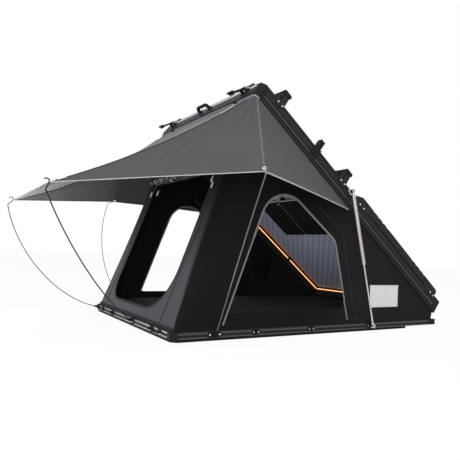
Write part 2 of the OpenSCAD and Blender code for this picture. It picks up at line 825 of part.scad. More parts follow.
module rear_door_roll() {
    up = rear_door_low + rear_door_l + roll_r;
    color(canvas_black) on_rear_wall() translate([-roll_l / 2, up, roll_r + run_gap]) rotate([0, 90, 0])
        cloth_roll(roll_l, roll_r, [roll_l * 0.06, roll_l * 0.5, roll_l * 0.94]);
}

// Side door rolled up inside, over the door's sloping head
module side_door_roll() {
    head = door_head_front - door_head_rear;
    out = [-head.y, head.x] / norm(head) * -1;
    lift = side_roll_r + 26;
    from = door_head_rear + head * 0.16 - out * lift;
    roll = norm(head) * 0.78;
    translate([from.x, -wall_y + canvas_t / 2 + side_roll_r + run_gap, from.y])
        rotate([0, 90 - atan2(head.y, head.x), 0])
            cloth_roll(roll, side_roll_r, [roll * 0.12, roll * 0.5, roll * 0.88]);
}

module side_door_roll_near() { color(canvas_black) side_door_roll(); }
module side_door_roll_far() { color(canvas_black) mirror([0, 1, 0]) side_door_roll(); }

module wall_pocket() {
    pocket = [230, 14, 300];
    color("black") translate([330, wall_y - canvas_t / 2 - run_gap - pocket.y, rail_top + 120]) {
        cube([pocket.x, 4, pocket.z]);
        cube([pocket.x, pocket.y, pocket.z / 2 - 10]);
        translate([0, 0, pocket.z / 2]) cube([pocket.x, pocket.y, pocket.z / 2 - 30]);
    }
}

// Roof shell, drawn closed

module roof_section() {
    difference() {
        translate([-rail_t, 0]) square([rail_t, roof_h]);
        translate([-rail_t + rail_wall, rail_wall])
            square([rail_t - slot_d - 2 * rail_wall, roof_h - 2 * rail_wall]);
        translate([-slot_d, slot_z - slot_w / 2]) square([slot_d + over, slot_w]);
        translate([-slot_d, low_groove_z - base_groove_w / 2]) square([slot_d + over, base_groove_w]);
    }
}

module roof_side_rail() {
    side_run(roof_rear + corner_leg + fit_gap, half_l - corner_leg - fit_gap, roof_z) roof_section();
}

module roof_rail_near() { color(metal_black) open_roof() roof_side_rail(); }
module roof_rail_far() { color(metal_black) open_roof() mirror([0, 1, 0]) roof_side_rail(); }

module roof_rail_rear() {
    reach = half_w - corner_leg - fit_gap;
    color(metal_black) open_roof() end_run(roof_rear, -reach, reach, roof_z) roof_section();
}

module roof_rail_front() {
    reach = half_w - corner_leg - fit_gap;
    color(metal_black) open_roof() mirror([1, 0, 0]) end_run(-half_l, -reach, reach, roof_z) roof_section();
}

module roof_corner_blocks() {
    color(plastic_black) open_roof() translate([0, 0, roof_z]) both_sides() {
        rear_corner_block(roof_rear, roof_h);
        front_corner_block(roof_h, roof_nose);
    }
}

roof_in_x0 = roof_rear + rail_t + fit_gap;
roof_in_x1 = half_l - rail_t - fit_gap;
roof_in_y = half_w - rail_t - fit_gap;

module roof_panel() {
    color(metal_black) open_roof()
        translate([roof_in_x0, -roof_in_y, roof_top - 4 - panel_t])
            cube([roof_in_x1 - roof_in_x0, 2 * roof_in_y, panel_t]);
}

// Quilted liner: stitch lines cross in diamonds, and each diamond stands proud in its middle
liner_back = roof_top - 4 - panel_t - fit_gap;
function liner_point(i, j) = [
    mix(roof_in_x0, roof_in_x1, i / (2 * quilt_n)),
    mix(-roof_in_y, roof_in_y, j / (2 * quilt_m)),
    liner_back - liner_t - ((i + j) % 2 == 1 && i > 0 && j > 0 && i < 2 * quilt_n && j < 2 * quilt_m
        ? quilt_rise : 0)];

module roof_liner() {
    n = 2 * quilt_n;
    m = 2 * quilt_m;
    row = m + 1;
    k = (n + 1) * row;
    quilted = [for (i = [0 : n], j = [0 : m]) liner_point(i, j)];
    rims = [
        [for (i = [0 : n]) i * row], [for (j = [0 : m]) n * row + j],
        [for (i = [n : -1 : 0]) i * row + m], [for (j = [m : -1 : 0]) j]];
    back = [for (rim = rims) [quilted[rim[0]].x, quilted[rim[0]].y, liner_back]];
    cells = [for (i = [0 : n - 1], j = [0 : m - 1]) each
        let (a = i * row + j, b = a + row)
        (i + j) % 2 == 0
            ? [[a, b, b + 1], [a, b + 1, a + 1]]
            : [[a, b, a + 1], [b, b + 1, a + 1]]];
    sides = [for (q = [0 : 3]) each concat(
        [for (p = [0 : len(rims[q]) - 2]) [k + q, rims[q][p + 1], rims[q][p]]],
        [[k + q, k + (q + 1) % 4, rims[q][len(rims[q]) - 1]]])];
    color("slategray") open_roof()
        polyhedron(concat(quilted, back), concat(cells, sides, [[k, k + 3, k + 2], [k, k + 2, k + 1]]));
}

// Light strips along the inner edge of the near, far and front rails; the side strips are in two lengths
module light_strips() {
    strip_w = 6;
    strip_h = 6;
    z = liner_back - liner_t - quilt_rise - strip_h - 14;
    x1 = roof_in_x1 - 10;
    run = 1500;
    joint_at = 1026;
    joint_w = 36;
    color("orange") open_roof() {
        both_sides() translate([x1 - run, -roof_in_y, z]) {
            cube([joint_at, strip_w, strip_h]);
            translate([joint_at + joint_w, 0, 0]) cube([run - joint_at - joint_w, strip_w, strip_h]);
        }
        translate([x1 - strip_w + 10, -roof_in_y + strip_w + 4, z])
            cube([strip_w, 2 * (roof_in_y - strip_w - 4), strip_h]);
    }
}

// Two soft pouches under the liner, open towards the rear
module ceiling_organiser() {
    u0 = 895;
    u1 = 1330;
    half = 286;
    wall = 3;
    seam = 2;
    drop = roof_z + 4;
    top = liner_back - liner_t - quilt_rise - run_gap;
    color("black") open_roof() both_sides() translate([half_l - u1, seam, drop]) difference() {
        cube([u1 - u0, half - seam, top - drop]);
        translate([-over, wall, wall])
            cube([u1 - u0 - wall + over, half - seam - 2 * wall, top - drop - 2 * wall]);
    }
}

// Crossbars and their feet

bar_z = roof_top + bar_clear;
module bar_outline(inset = 0) {
    r = bar_t / 2;
    for (x = [-bar_l / 2 + r, bar_l / 2 - r]) translate([x, bar_z + r]) circle(r = r - inset);
    translate([-bar_l / 2 + r, bar_z + inset]) square([bar_l - 2 * r, bar_t - 2 * inset]);
}

module crossbar(u) {
    reach = half_w + foot_t - 2;
    open_roof() translate([half_l - u, 0, 0]) plate_xz(-reach, reach) difference() {
        bar_outline();
        bar_outline(2.5);
    }
}

module crossbar_rear() { color(metal_black) crossbar(bar_rear_u); }
module crossbar_mid() { color(metal_black) crossbar(bar_mid_u); }

module crossbar_end_caps() {
    y1 = -half_w - foot_t + 2 - fit_gap;
    color(plastic_black) open_roof() for (u = [bar_rear_u, bar_mid_u]) both_sides()
        translate([half_l - u, 0, 0]) plate_xz(y1 - 8, y1) bar_outline();
}

// Foot: a plate bolted to the rail's slot, with a triangular window, and a shelf under the bar
module crossbar_foot() {
    shelf_t = 5;
    low = roof_z + slot_z - 16;
    high = bar_z - fit_gap;
    lean = 12;
    plate_xz(-half_w - fit_gap - foot_t, -half_w - fit_gap) difference() {
        polygon([
            [-34, low], [34, low], [34, low + 30], [bar_l / 2 - 6, high], [-bar_l / 2 + 4, high],
            [-34 - lean, low + 40]]);
        polygon([[-26, low + 40], [-4, low + 40], [-18, high - 10]]);
    }
    translate([-bar_l / 2 + 6, -half_w - fit_gap - over, high - shelf_t]) cube([bar_l - 14, 70, shelf_t]);
    translate([-3, -half_w - fit_gap - over, roof_top + fit_gap]) cube([6, 40, high - shelf_t - roof_top]);
}

module crossbar_feet() {
    color(metal_black) open_roof() for (u = [bar_rear_u, bar_mid_u]) both_sides()
        translate([half_l - u, 0, 0]) crossbar_foot();
}

// Clamp on the rail: a wide foot, a hook over the rail's top and a grooved block
module accessory_brackets() {
    foot_w = 62;
    w = 42;
    t = 8;
    block_y = 38;
    color(plastic_black) open_roof() both_sides() translate([half_l - clamp_u, 0, 0]) {
        translate([-foot_w / 2, -half_w - fit_gap - t, roof_z + 34]) cube([foot_w, t, roof_h - 30]);
        translate([-w / 2, -half_w - fit_gap - over, roof_top + fit_gap]) cube([w, rail_t, 12 - fit_gap]);
        translate([-w / 2 + 2, -half_w - fit_gap - t, roof_top + 3]) difference() {
            cube([w - 4, block_y, 65]);
            translate([10, -over, 40]) cube([6, 3 + over, 30]);
            translate([22, -over, 40]) cube([6, 3 + over, 30]);
        }
    }
}

// Side fairing: a long low plate on the rail with a notched upper edge and braced, recessed ends
module fairing_plate() {
    x0 = half_l - fairing_u1;
    x1 = half_l - fairing_u0;
    low = roof_z + slot_z - 14;
    high = roof_top + fairing_rise;
    notch = 14;
    notch_pitch = 58;
    window = 34;
    window_h = 32;
    face = -half_w - fit_gap - fairing_t;
    difference() {
        plate_xz(face, -half_w - fit_gap) difference() {
            polygon([
                [x0 + 20, low], [x0 + 150, low], [x0 + 176, roof_top - 8], [x1 - 156, roof_top - 8],
                [x1 - 130, low], [x1 - 10, low], [x1, high - 12], [x1 - 24, high], [x0 + 60, high],
                [x0, high - 34]]);
            for (k = [0 : 3], at = [x0 + 196 + k * notch_pitch, x1 - 210 - k * notch_pitch])
                translate([at, high - 4]) square([notch, 6]);
        }
        for (k = [0 : 2], end = [x0 + 72, x1 - 72 - 3 * (window + 6)])
            translate([end + k * (window + 6), 0, high - window_h - 5])
                plate_xz(face - over, face + fairing_t * 0.7)
                    polygon(k % 2 == 0
                        ? [[0, 0], [window, 0], [window / 2, window_h]]
                        : [[0, window_h], [window, window_h], [window / 2, 0]]);
    }
}

module fairing_near() { color(metal_black) open_roof() fairing_plate(); }
module fairing_far() { color(metal_black) open_roof() mirror([0, 1, 0]) fairing_plate(); }

module roof_bolts() {
    foot_y = -half_w - 2 * fit_gap - foot_t;
    plate_y = -half_w - 2 * fit_gap - fairing_t;
    color(bright) open_roof() both_sides() {
        for (u = [bar_rear_u, bar_mid_u], du = [-20, 20])
            bolt_near(half_l - u + du, roof_z + slot_z, foot_y);
        for (x = [fairing_u1 - 62, fairing_u1 - 108, fairing_u0 + 64, fairing_u0 + 22])
            bolt_near(half_l - x, roof_z + slot_z, plate_y);
    }
}

// Rear face of the roof: handle and latches

module grab_handle() {
    z = roof_z + roof_h * 0.62;
    x = roof_rear - handle_reach + handle_r;
    bend = 2 * handle_r;
    color(plastic_black) open_roof() {
        rod_y(x, -handle_half + bend, handle_half - bend, z, handle_r);
        both_sides() {
            translate([x + bend, -handle_half + bend, z]) rotate([0, 0, 180])
                rotate_extrude(angle = 90) translate([bend, 0]) circle(r = handle_r);
            translate([x + bend, -handle_half, z]) rotate([0, 90, 0])
                cylinder(r = handle_r, h = roof_rear - fit_gap - x - bend);
            translate([roof_rear - fit_gap - 5, -handle_half - 16, z - 18]) cube([5, 32, 36]);
        }
    }
}

latch_x = roof_rear - 26;
latch_boss_r = latch_pin_d / 2 + 5;
latch_z = roof_z + roof_h * 0.6;
latch_ear_y = 26;

module latch_plates() {
    ear_t = 5;
    color(metal_black) open_roof() for (y = [-latch_y, latch_y]) translate([0, y, 0]) {
        translate([roof_rear - fit_gap - 4, -34, latch_z - 26]) cube([4, 68, 52]);
        for (side = [-1, 1])
            translate([0, side * (latch_ear_y + ear_t / 2), 0]) plate_xz(-ear_t / 2, ear_t / 2) {
                translate([latch_x, latch_z - 10]) square([roof_rear - fit_gap - latch_x, 20]);
                translate([latch_x, latch_z]) circle(r = latch_boss_r + 1);
            }
        rod_y(latch_x, -latch_ear_y - ear_t - 1, latch_ear_y + ear_t + 1, latch_z, latch_pin_d / 2);
    }
}

// Lever on a pin: a looped arm with a hook for the keeper hangs below, and a handle stands above
module latch_lever() {
    w = latch_ear_y - run_gap;
    arm_t = 12;
    loop_half = 16;
    handle_l = 80;
    handle_w = 17;
    grip_r = 6;
    arm_x = -half_l - keeper_reach - 1;
    hook_x = arm_x + 7;
    hook_top = keeper_z - run_gap;
    hook_low = hook_top - 8;
    open_roof() translate([latch_x, 0, latch_z]) rotate([0, latch_out, 0])
    translate([-latch_x, 0, -latch_z]) {
        difference() {
            union() {
                rod_y(latch_x, -w, w, latch_z, latch_boss_r);
                plate_xz(-w, w) polygon([
                    [latch_x - 7, latch_z], [latch_x + 7, latch_z], [arm_x, latch_z - 30],
                    [arm_x, hook_top], [hook_x, hook_top], [hook_x, hook_low],
                    [arm_x - arm_t, hook_low - 4], [arm_x - arm_t, latch_z - 26]]);
            }
            rod_y(latch_x, -base_w, base_w, latch_z, latch_pin_d / 2 + pin_play);
            translate([arm_x - 2 * arm_t, -loop_half, hook_top + 10])
                cube([4 * arm_t, 2 * loop_half, latch_z - hook_top - 30]);
        }
        rod_y(arm_x - arm_t, -w - 4, w + 4, hook_low - 4, 7);
        translate([latch_x - grip_r, -handle_w, latch_z + latch_boss_r - 2])
            cube([grip_r, 2 * handle_w, handle_l - latch_boss_r]);
        rod_y(latch_x - grip_r, -handle_w - 7, handle_w + 7, latch_z + handle_l - 2, grip_r);
    }
}

module latch_lever_near() { color(metal_black) translate([0, -latch_y, 0]) latch_lever(); }
module latch_lever_far() { color(metal_black) translate([0, latch_y, 0]) latch_lever(); }

// Awning: ribs run from the roof's edge to the hem, round both sides and the rear

awning_drop = 0.4;
awning_side_in = 9;
awning_rear_in = 18;
awning_steps = 8;
// The roots turn the corner outside the walls' own corner and inside the block's chamfer
awning_turn_x = rail_t - 4;
awning_turn_y = corner_cut - 10;
awning_front = opened([half_l - awning_u, -half_w + awning_side_in, roof_z - awning_drop]);
awning_side_head = opened([roof_rear + awning_turn_x, -half_w + awning_side_in, roof_z - awning_drop]);
awning_rear_head = opened([roof_rear + awning_rear_in, -half_w + awning_turn_y, roof_z - awning_drop]);
wing_tip = [-wing_x, -half_w - wing_reach, wing_z];
rear_tip = [-half_l - awning_reach, -awning_half, awning_z];

// Rib at share t of a panel: its head, its hem point drawn in by the scallop, and its sag
function rib(heads, tips, sags, slack, t) =
    let (head = mix(heads[0], heads[1], t), tip = mix(tips[0], tips[1], t), bow = 4 * t * (1 - t))
    [head, tip + unit(head - tip) * hem_scallop * bow * slack,
        mix(sags[0], sags[1], t) + awning_sag * bow * slack];
side_ribs = [for (i = [0 : 11]) rib(
    [awning_front, awning_side_head], [awning_front, wing_tip], [0, wing_sag], 0.5, 0.03 + 0.97 * i / 12)];
corner_ribs = [for (i = [0 : 7]) rib(
    [awning_side_head, awning_rear_head], [wing_tip, rear_tip], [wing_sag, ridge_sag], 0.8, i / 8)];
half_ribs = concat(side_ribs, corner_ribs);
rear_ribs = [for (i = [0 : 16]) rib(
    [awning_rear_head, mirrored(awning_rear_head)], [rear_tip, mirrored(rear_tip)],
    [ridge_sag, ridge_sag], 1, i / 16)];
awning_ribs = concat(
    half_ribs, rear_ribs, [for (r = reversed(half_ribs)) [mirrored(r[0]), mirrored(r[1]), r[2]]]);
function rib_point(r, s) = mix(r[0], r[1], s) - [0, 0, r[2] * 4 * s * (1 - s)];

module awning() {
    upper = [for (r = awning_ribs) [for (j = [0 : awning_steps]) rib_point(r, j / awning_steps)]];
    lower = [for (row = upper) [for (p = row) p - [0, 0, awning_t]]];
    color(awning_grey) grid_solid(upper, lower);
}

// Rings on the two ridges of each half, flat on the ridge's last stretch
module awning_grommets() {
    ring_r = 8;
    inset = 26;
    color(bright) both_sides() for (r = [corner_ribs[0], rear_ribs[0]])
        let (
            line = unit(r[1] - rib_point(r, 1 - 1 / awning_steps)),
            up = unit([0, 0, 1] - line.z * line),
            spot = r[1] - line * inset)
        translate(spot + up * run_gap) aim(up) rotate_extrude() translate([ring_r - 3, 0]) square([3, 2]);
}

module rear_rod_near() {
    color(metal_black)
        swept_rod(rod_path(rear_near_route, rear_near_tip, [-1, 0, 0]), rod_d / 2, [0, 1, 0]);
}

module rear_rod_far() {
    color(metal_black)
        swept_rod(rod_path(rear_far_route, rear_far_tip, [-1, 0, 0]), rod_d / 2, [0, 1, 0]);
}

module side_rod_near() {
    color(metal_black)
        swept_rod(rod_path(side_near_route, side_near_tip, [0, -1, 0]), rod_d / 2, [1, 0, 0]);
}

module side_rod_far() {
    color(metal_black)
        swept_rod(rod_path(side_far_route, side_far_tip, [0, 1, 0]), rod_d / 2, [1, 0, 0]);
}

floor_panel();
base_rail_near();
base_rail_far();
base_rail_rear();
base_rail_front();
base_corner_blocks();
lower_trim();
mount_channels();
rail_seal();
mattress();
hinge_base_leaves();
hinge_pins();
latch_keepers();
rear_rod_sockets();
side_rod_sockets();
side_tie_brackets();
strut_base_brackets();
base_bolts();
side_wall_near();
side_wall_far();
rear_wall();
front_gusset();
rear_door_roll();
side_door_roll_near();
side_door_roll_far();
wall_pocket();
roof_panel();
roof_rail_near();
roof_rail_far();
roof_rail_rear();
roof_rail_front();
roof_corner_blocks();
roof_liner();
light_strips();
ceiling_organiser();
crossbar_rear();
crossbar_mid();
crossbar_feet();
crossbar_end_caps();
accessory_brackets();
fairing_near();
fairing_far();
roof_bolts();
grab_handle();
latch_plates();
hinge_roof_leaves();
strut_roof_brackets();
awning();
awning_grommets();
strut_cylinder_near();
strut_cylinder_far();
strut_rod_near();
strut_rod_far();
latch_lever_near();
latch_lever_far();
rear_rod_near();
rear_rod_far();
side_rod_near();
side_rod_far();
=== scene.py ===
# %% [markdown]
# # A wedge-shaped roof top tent
# A flat tray and a flat lid are hinged at the front, and canvas walls fill the wedge between them.
# The rails, brackets, struts and plates are rigid, so their solids from the CAD frame stay and only
# get better finishes. Everything sewn is made here as thin, curved cloth, in the place of its solid.

# %% Load the frame
import json
import math

import bpy
import numpy as np
from mathutils import Matrix, Vector, noise


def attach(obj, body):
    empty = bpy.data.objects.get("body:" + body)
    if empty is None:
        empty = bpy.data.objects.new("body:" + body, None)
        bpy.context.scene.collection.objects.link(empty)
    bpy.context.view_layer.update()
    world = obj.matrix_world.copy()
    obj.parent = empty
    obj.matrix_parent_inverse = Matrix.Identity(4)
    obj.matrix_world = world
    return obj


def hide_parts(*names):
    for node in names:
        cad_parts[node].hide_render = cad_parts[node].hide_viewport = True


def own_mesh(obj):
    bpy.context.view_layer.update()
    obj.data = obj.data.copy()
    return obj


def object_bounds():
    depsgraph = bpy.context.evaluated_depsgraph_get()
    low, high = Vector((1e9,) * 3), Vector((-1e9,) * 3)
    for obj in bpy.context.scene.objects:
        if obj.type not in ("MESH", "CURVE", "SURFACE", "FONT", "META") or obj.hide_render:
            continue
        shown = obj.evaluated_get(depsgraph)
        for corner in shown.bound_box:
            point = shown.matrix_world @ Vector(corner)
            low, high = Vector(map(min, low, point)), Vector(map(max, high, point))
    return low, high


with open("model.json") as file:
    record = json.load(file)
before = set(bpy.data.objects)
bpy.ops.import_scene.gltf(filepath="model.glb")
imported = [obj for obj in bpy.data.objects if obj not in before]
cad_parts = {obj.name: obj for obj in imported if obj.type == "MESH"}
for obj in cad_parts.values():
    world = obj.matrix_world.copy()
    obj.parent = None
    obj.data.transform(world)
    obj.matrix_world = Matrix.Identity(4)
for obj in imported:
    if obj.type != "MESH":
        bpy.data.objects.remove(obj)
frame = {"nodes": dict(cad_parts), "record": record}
cad_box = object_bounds()
scene = bpy.context.scene
scene.view_settings.view_transform = "Standard"

# %% [markdown]
# ## Camera
# The picture was taken from behind the tent's near corner, low down, with the camera slightly rolled.
# Yaw, pitch, roll and focal length were solved from the corners of the tray and lid, so the camera is
# set by its axes instead of by a tracking constraint, which could not hold the roll.

# %% Camera
CAMERA_AT = Vector((-2.227, -3.107, 0.509))
YAW, PITCH, ROLL = (math.radians(a) for a in (31.26, 2.46, 2.55))
FOCAL_PIXELS, FRAME_PIXELS, SENSOR_MM = 488.7, 460, 36.0

ahead = Vector((math.sin(YAW) * math.cos(PITCH), math.cos(YAW) * math.cos(PITCH), math.sin(PITCH)))
level = Vector((math.cos(YAW), -math.sin(YAW), 0))
over = level.cross(ahead)
camera_x = level * math.cos(ROLL) + over * math.sin(ROLL)
camera_y = over * math.cos(ROLL) - level * math.sin(ROLL)

lens = bpy.data.cameras.new("camera")
lens.sensor_width = SENSOR_MM
lens.lens = FOCAL_PIXELS / FRAME_PIXELS * SENSOR_MM
camera = bpy.data.objects.new("camera", lens)
camera.matrix_world = Matrix((camera_x, camera_y, -ahead)).transposed().to_4x4()
camera.location = CAMERA_AT
scene.collection.objects.link(camera)
scene.camera = camera
print("lens:", round(lens.lens, 2), "mm")

# %% [markdown]
# ## Shader maths
# A finish is a small network of nodes. To keep one readable, `Wire` wraps a node's output so that
# ordinary arithmetic adds Math nodes, and `Finish.node` makes any other node: its settings go in
# first, then the values or links of its sockets.

# %% Wire and Finish
class Wire:
    """An output of a shader node; arithmetic on it adds Math nodes."""

    def __init__(self, finish, socket):
        self.finish, self.socket = finish, socket

    def maths(self, operation, *terms):
        return self.finish.node("ShaderNodeMath", {"operation": operation}, dict(enumerate(terms)))

    def __add__(self, other):
        return self.maths("ADD", self, other)

    def __sub__(self, other):
        return self.maths("SUBTRACT", self, other)

    def __rsub__(self, other):
        return self.maths("SUBTRACT", other, self)

    def __mul__(self, other):
        return self.maths("MULTIPLY", self, other)

    def __pow__(self, other):
        return self.maths("POWER", self, other)

    __radd__, __rmul__ = __add__, __mul__

    def sine(self):
        return self.maths("SINE", self)

    def size(self):
        return self.maths("ABSOLUTE", self)

    def over(self, edge):
        return self.maths("GREATER_THAN", self, edge)


class Finish:
    """A material, or the world, whose nodes are made by node() and shown by surface() or show()."""

    def __init__(self, name, world=None):
        self.material = world or bpy.data.materials.new(name)
        self.material.use_nodes = True
        self.tree = self.material.node_tree
        self.tree.nodes.clear()

    def node(self, kind, settings=None, sockets=None, out=0):
        made = self.tree.nodes.new(kind)
        for key, value in (settings or {}).items():
            setattr(made, key, value)
        for key, value in (sockets or {}).items():
            if isinstance(value, Wire):
                self.tree.links.new(value.socket, made.inputs[key])
            else:
                made.inputs[key].default_value = value
        return Wire(self, made.outputs[out])

    def place(self, stretch=(1, 1, 1)):
        spot = self.node("ShaderNodeTexCoord", out=3)
        return self.node("ShaderNodeVectorMath", {"operation": "MULTIPLY"}, {0: spot, 1: stretch})

    def cloudy(self, scale, stretch=(1, 1, 1), detail=3.0):
        return self.node("ShaderNodeTexNoise", None,
                         {"Vector": self.place(stretch), "Scale": scale, "Detail": detail})

    def axes(self):
        spot = self.place()
        return [self.node("ShaderNodeSeparateXYZ", None, {0: spot}, out=k) for k in range(3)]

    def mix(self, share, first, second):
        return self.node("ShaderNodeMix", {"data_type": "RGBA"}, {0: share, 6: first, 7: second}, out=2)

    def ramp(self, value, low, high):
        """Smoothly from 0 to 1 while the value goes from low to high."""
        return self.node("ShaderNodeMapRange", {"interpolation_type": "SMOOTHSTEP"},
                         {0: value, 1: low, 2: high})

    def bump(self, height, depth, strength=1.0):
        return self.node("ShaderNodeBump", None,
                         {"Height": height, "Distance": depth, "Strength": strength})

    def surface(self, sockets):
        self.show(self.node("ShaderNodeBsdfPrincipled", None, sockets))
        return self.material

    def show(self, shader, kind="ShaderNodeOutputMaterial"):
        end = self.tree.nodes.new(kind)
        self.tree.links.new(shader.socket, end.inputs["Surface"])


def grey(value, warm=0.0):
    return (value * (1 + warm), value, value * (1 - warm), 1.0)


print("shader helpers ready")

# %% [markdown]
# ## Light and floor
# The tent is shown on plain white. The white is given to camera, mirror and glass rays alone, so it
# does not flood the black canvas with light. Broad soft lamps do the lighting: one high on the near
# side, one from the open rear, a weak one from the far side, and one beside the camera that reaches
# in through the doorways. A small low one does what a white studio floor would do under the awning.

# %% Light and floor
def seen(finish):
    rays = [finish.node("ShaderNodeLightPath", out=k) for k in (0, 3, 6)]
    return (rays[0] + rays[1] + rays[2]).over(0.5)


def around(count):
    """Equal angles round a circle."""
    return [2 * math.pi * k / count for k in range(count)]


scene.world = bpy.data.worlds.new("studio")
sky = Finish("studio", scene.world)
backdrop = sky.node("ShaderNodeBackground", None, {"Color": grey(1.0), "Strength": 1.0})
fill = sky.node("ShaderNodeBackground", None, {"Color": grey(1.0), "Strength": 0.45})
sky.show(sky.node("ShaderNodeMixShader", None, {0: seen(sky), 1: fill, 2: backdrop}),
         "ShaderNodeOutputWorld")

floor_finish = Finish("pale_floor")
chalk = floor_finish.node("ShaderNodeBsdfDiffuse", None, {"Color": grey(0.82)})
white = floor_finish.node("ShaderNodeEmission", None, {"Color": grey(1.0), "Strength": 1.04})
floor_finish.show(floor_finish.node("ShaderNodeMixShader", None,
                                    {0: seen(floor_finish) * 0.9, 1: chalk, 2: white}))

FLOOR_RADIUS, FLOOR_SIDES, FLOOR_GAP = 30, 48, 0.0005
floor_z = cad_box[0][2] - FLOOR_GAP
ring = [(FLOOR_RADIUS * math.cos(a), FLOOR_RADIUS * math.sin(a), floor_z) for a in around(FLOOR_SIDES)]
floor_mesh = bpy.data.meshes.new("floor")
floor_mesh.from_pydata(ring, [], [list(range(FLOOR_SIDES))])
floor_mesh.materials.append(floor_finish.material)
floor = bpy.data.objects.new("floor", floor_mesh)
scene.collection.objects.link(floor)

MIDDLE = (-0.2, 0, 0.6)
LAMPS = {"key_lamp": ((-1.6, -2.6, 3.9), MIDDLE, 3.0, 52),
         "rear_lamp": ((-5.0, -0.4, 1.6), MIDDLE, 2.6, 38),
         "far_lamp": ((1.5, 4.2, 2.8), MIDDLE, 2.6, 28),
         "camera_lamp": ((-2.5, -3.6, 1.0), MIDDLE, 1.4, 40),
         "low_lamp": ((-1.95, 0.45, 0.06), (-1.35, 0.25, 1.0), 0.9, 17)}
for name, (spot, target, width, power) in LAMPS.items():
    lamp = bpy.data.lights.new(name, "AREA")
    lamp.size, lamp.energy = width, power
    holder = bpy.data.objects.new(name, lamp)
    holder.location = spot
    holder.rotation_euler = (Vector(target) - Vector(spot)).to_track_quat("-Z", "Y").to_euler()
    holder.visible_camera = False
    scene.collection.objects.link(holder)
print("lamps:", list(LAMPS))

# %% [markdown]
# ## Hard finishes
# Powder coat is satin with a fine orange-peel skin. Moulded plastic is duller and stippled. Bare
# aluminium and steel are drawn along their length, which shows as long streaks in the gloss. Each is
# one function, so every hard finish of the tent shares the same ideas at its own settings.

# %% Hard finishes
def powder_coat(name, shade, rough):
    f = Finish(name)
    peel, scuff = f.cloudy(900, detail=1.0), f.cloudy(14, (1, 1, 3), 6.0)
    rubbed = scuff - 0.60
    worn = rubbed.maths("MAXIMUM", rubbed, 0.0) * 3.0
    return f.surface({"Base Color": f.mix(worn, grey(shade), grey(shade * 1.9)),
                      "Roughness": rough + scuff * 0.14 - 0.07, "Specular IOR Level": 0.05,
                      "Normal": f.bump(peel, 0.0003, 0.35)})


def moulded(name, shade, rough):
    f = Finish(name)
    stipple, bloom = f.cloudy(1500, detail=2.0), f.cloudy(9)
    return f.surface({"Base Color": f.mix(bloom, grey(shade * 0.8), grey(shade * 1.25)),
                      "Roughness": rough + bloom * 0.12 - 0.06, "Specular IOR Level": 0.1,
                      "Normal": f.bump(stipple, 0.0004, 0.5)})


def drawn_metal(name, colour, rough, along=(3, 260, 260)):
    f = Finish(name)
    streak = f.cloudy(1.0, along, 4.0)
    return f.surface({"Base Color": f.mix(streak, [c * 0.86 for c in colour[:3]] + [1], colour),
                      "Metallic": 1.0, "Roughness": rough + streak * 0.16 - 0.08,
                      "Normal": f.bump(streak, 0.0002, 0.3)})


def ply_board(name):
    f = Finish(name)
    grain = f.cloudy(1.0, (4, 90, 90), 6.0)
    return f.surface({"Base Color": f.mix(grain, grey(0.035, 0.05), grey(0.07, 0.08)),
                      "Roughness": 0.55 + grain * 0.2, "Specular IOR Level": 0.2,
                      "Normal": f.bump(grain, 0.0006, 0.4)})


def amber_strip(name):
    f = Finish(name)
    x, y = f.axes()[:2]
    diode = ((x * 1.27 + y) * 380).sine() * 0.5 + 0.5
    glow = f.mix(diode, (1.0, 0.41, 0.13, 1), (1.0, 0.53, 0.24, 1))
    return f.surface({"Base Color": (0.8, 0.5, 0.2, 1), "Roughness": 0.35,
                      "Emission Color": glow, "Emission Strength": 1.7})


print("hard finishes ready")

# %% [markdown]
# ## Rigid solids
# Rails, brackets, plates and struts keep their solids. Each one names its material slot in the
# record, so its finish is looked up by that name. A few finishes belong to trim that is made below.

# %% Rigid solids
HARD = {
    "rail_black": powder_coat("rail_black", 0.030, 0.5),
    "bracket_black": powder_coat("bracket_black", 0.014, 0.45),
    "moulded_black": moulded("moulded_black", 0.012, 0.6),
    "seal_rubber": moulded("seal_rubber", 0.011, 0.75),
    "channel_silver": drawn_metal("channel_silver", (0.56, 0.56, 0.57, 1), 0.38),
    "steel_bright": drawn_metal("steel_bright", (0.72, 0.72, 0.71, 1), 0.26, (120, 120, 120)),
    "strut_silver": drawn_metal("strut_silver", (0.52, 0.49, 0.44, 1), 0.34, (60, 200, 60)),
    # A pale finish for the strip on the lid's rear top edge: a painted highlight of the rail's top
    # chamfer.
    "edge_trim": moulded("edge_trim", 0.62, 0.4),
    # Copies of one metal as painted highlights on the rails' lips: a brighter one for the rear rail, where
    # the light falls, and a dimmer one for the sides.
    "rail_lip_rear": drawn_metal("rail_lip_rear", (0.27, 0.27, 0.30, 1), 0.4, (260, 3, 260)),
    "rail_lip_side": drawn_metal("rail_lip_side", (0.085, 0.085, 0.085, 1), 0.4),
    "strut_chrome": drawn_metal("strut_chrome", (0.58, 0.57, 0.55, 1), 0.16, (60, 200, 60)),
    "floor_board": ply_board("floor_board"),
    "light_amber": amber_strip("light_amber"),
    "rod_black": drawn_metal("rod_steel", (0.035, 0.034, 0.033, 1), 0.4, (40, 40, 40)),
    # A paler copy of the black sleeve for the side rods, as painted reflection.
    "rod_grey": drawn_metal("rod_grey", (0.19, 0.19, 0.195, 1), 0.3, (40, 40, 40)),
}
SLOT_OF = {part["node"]: part["material_slot"] for part in frame["record"]["subparts"]}
dressed = 0
for name, solid in frame["nodes"].items():
    if SLOT_OF[name] in HARD:
        for holder in solid.material_slots:
            holder.material = HARD[SLOT_OF[name]]
        dressed += 1
print("solids with a hard finish:", dressed)

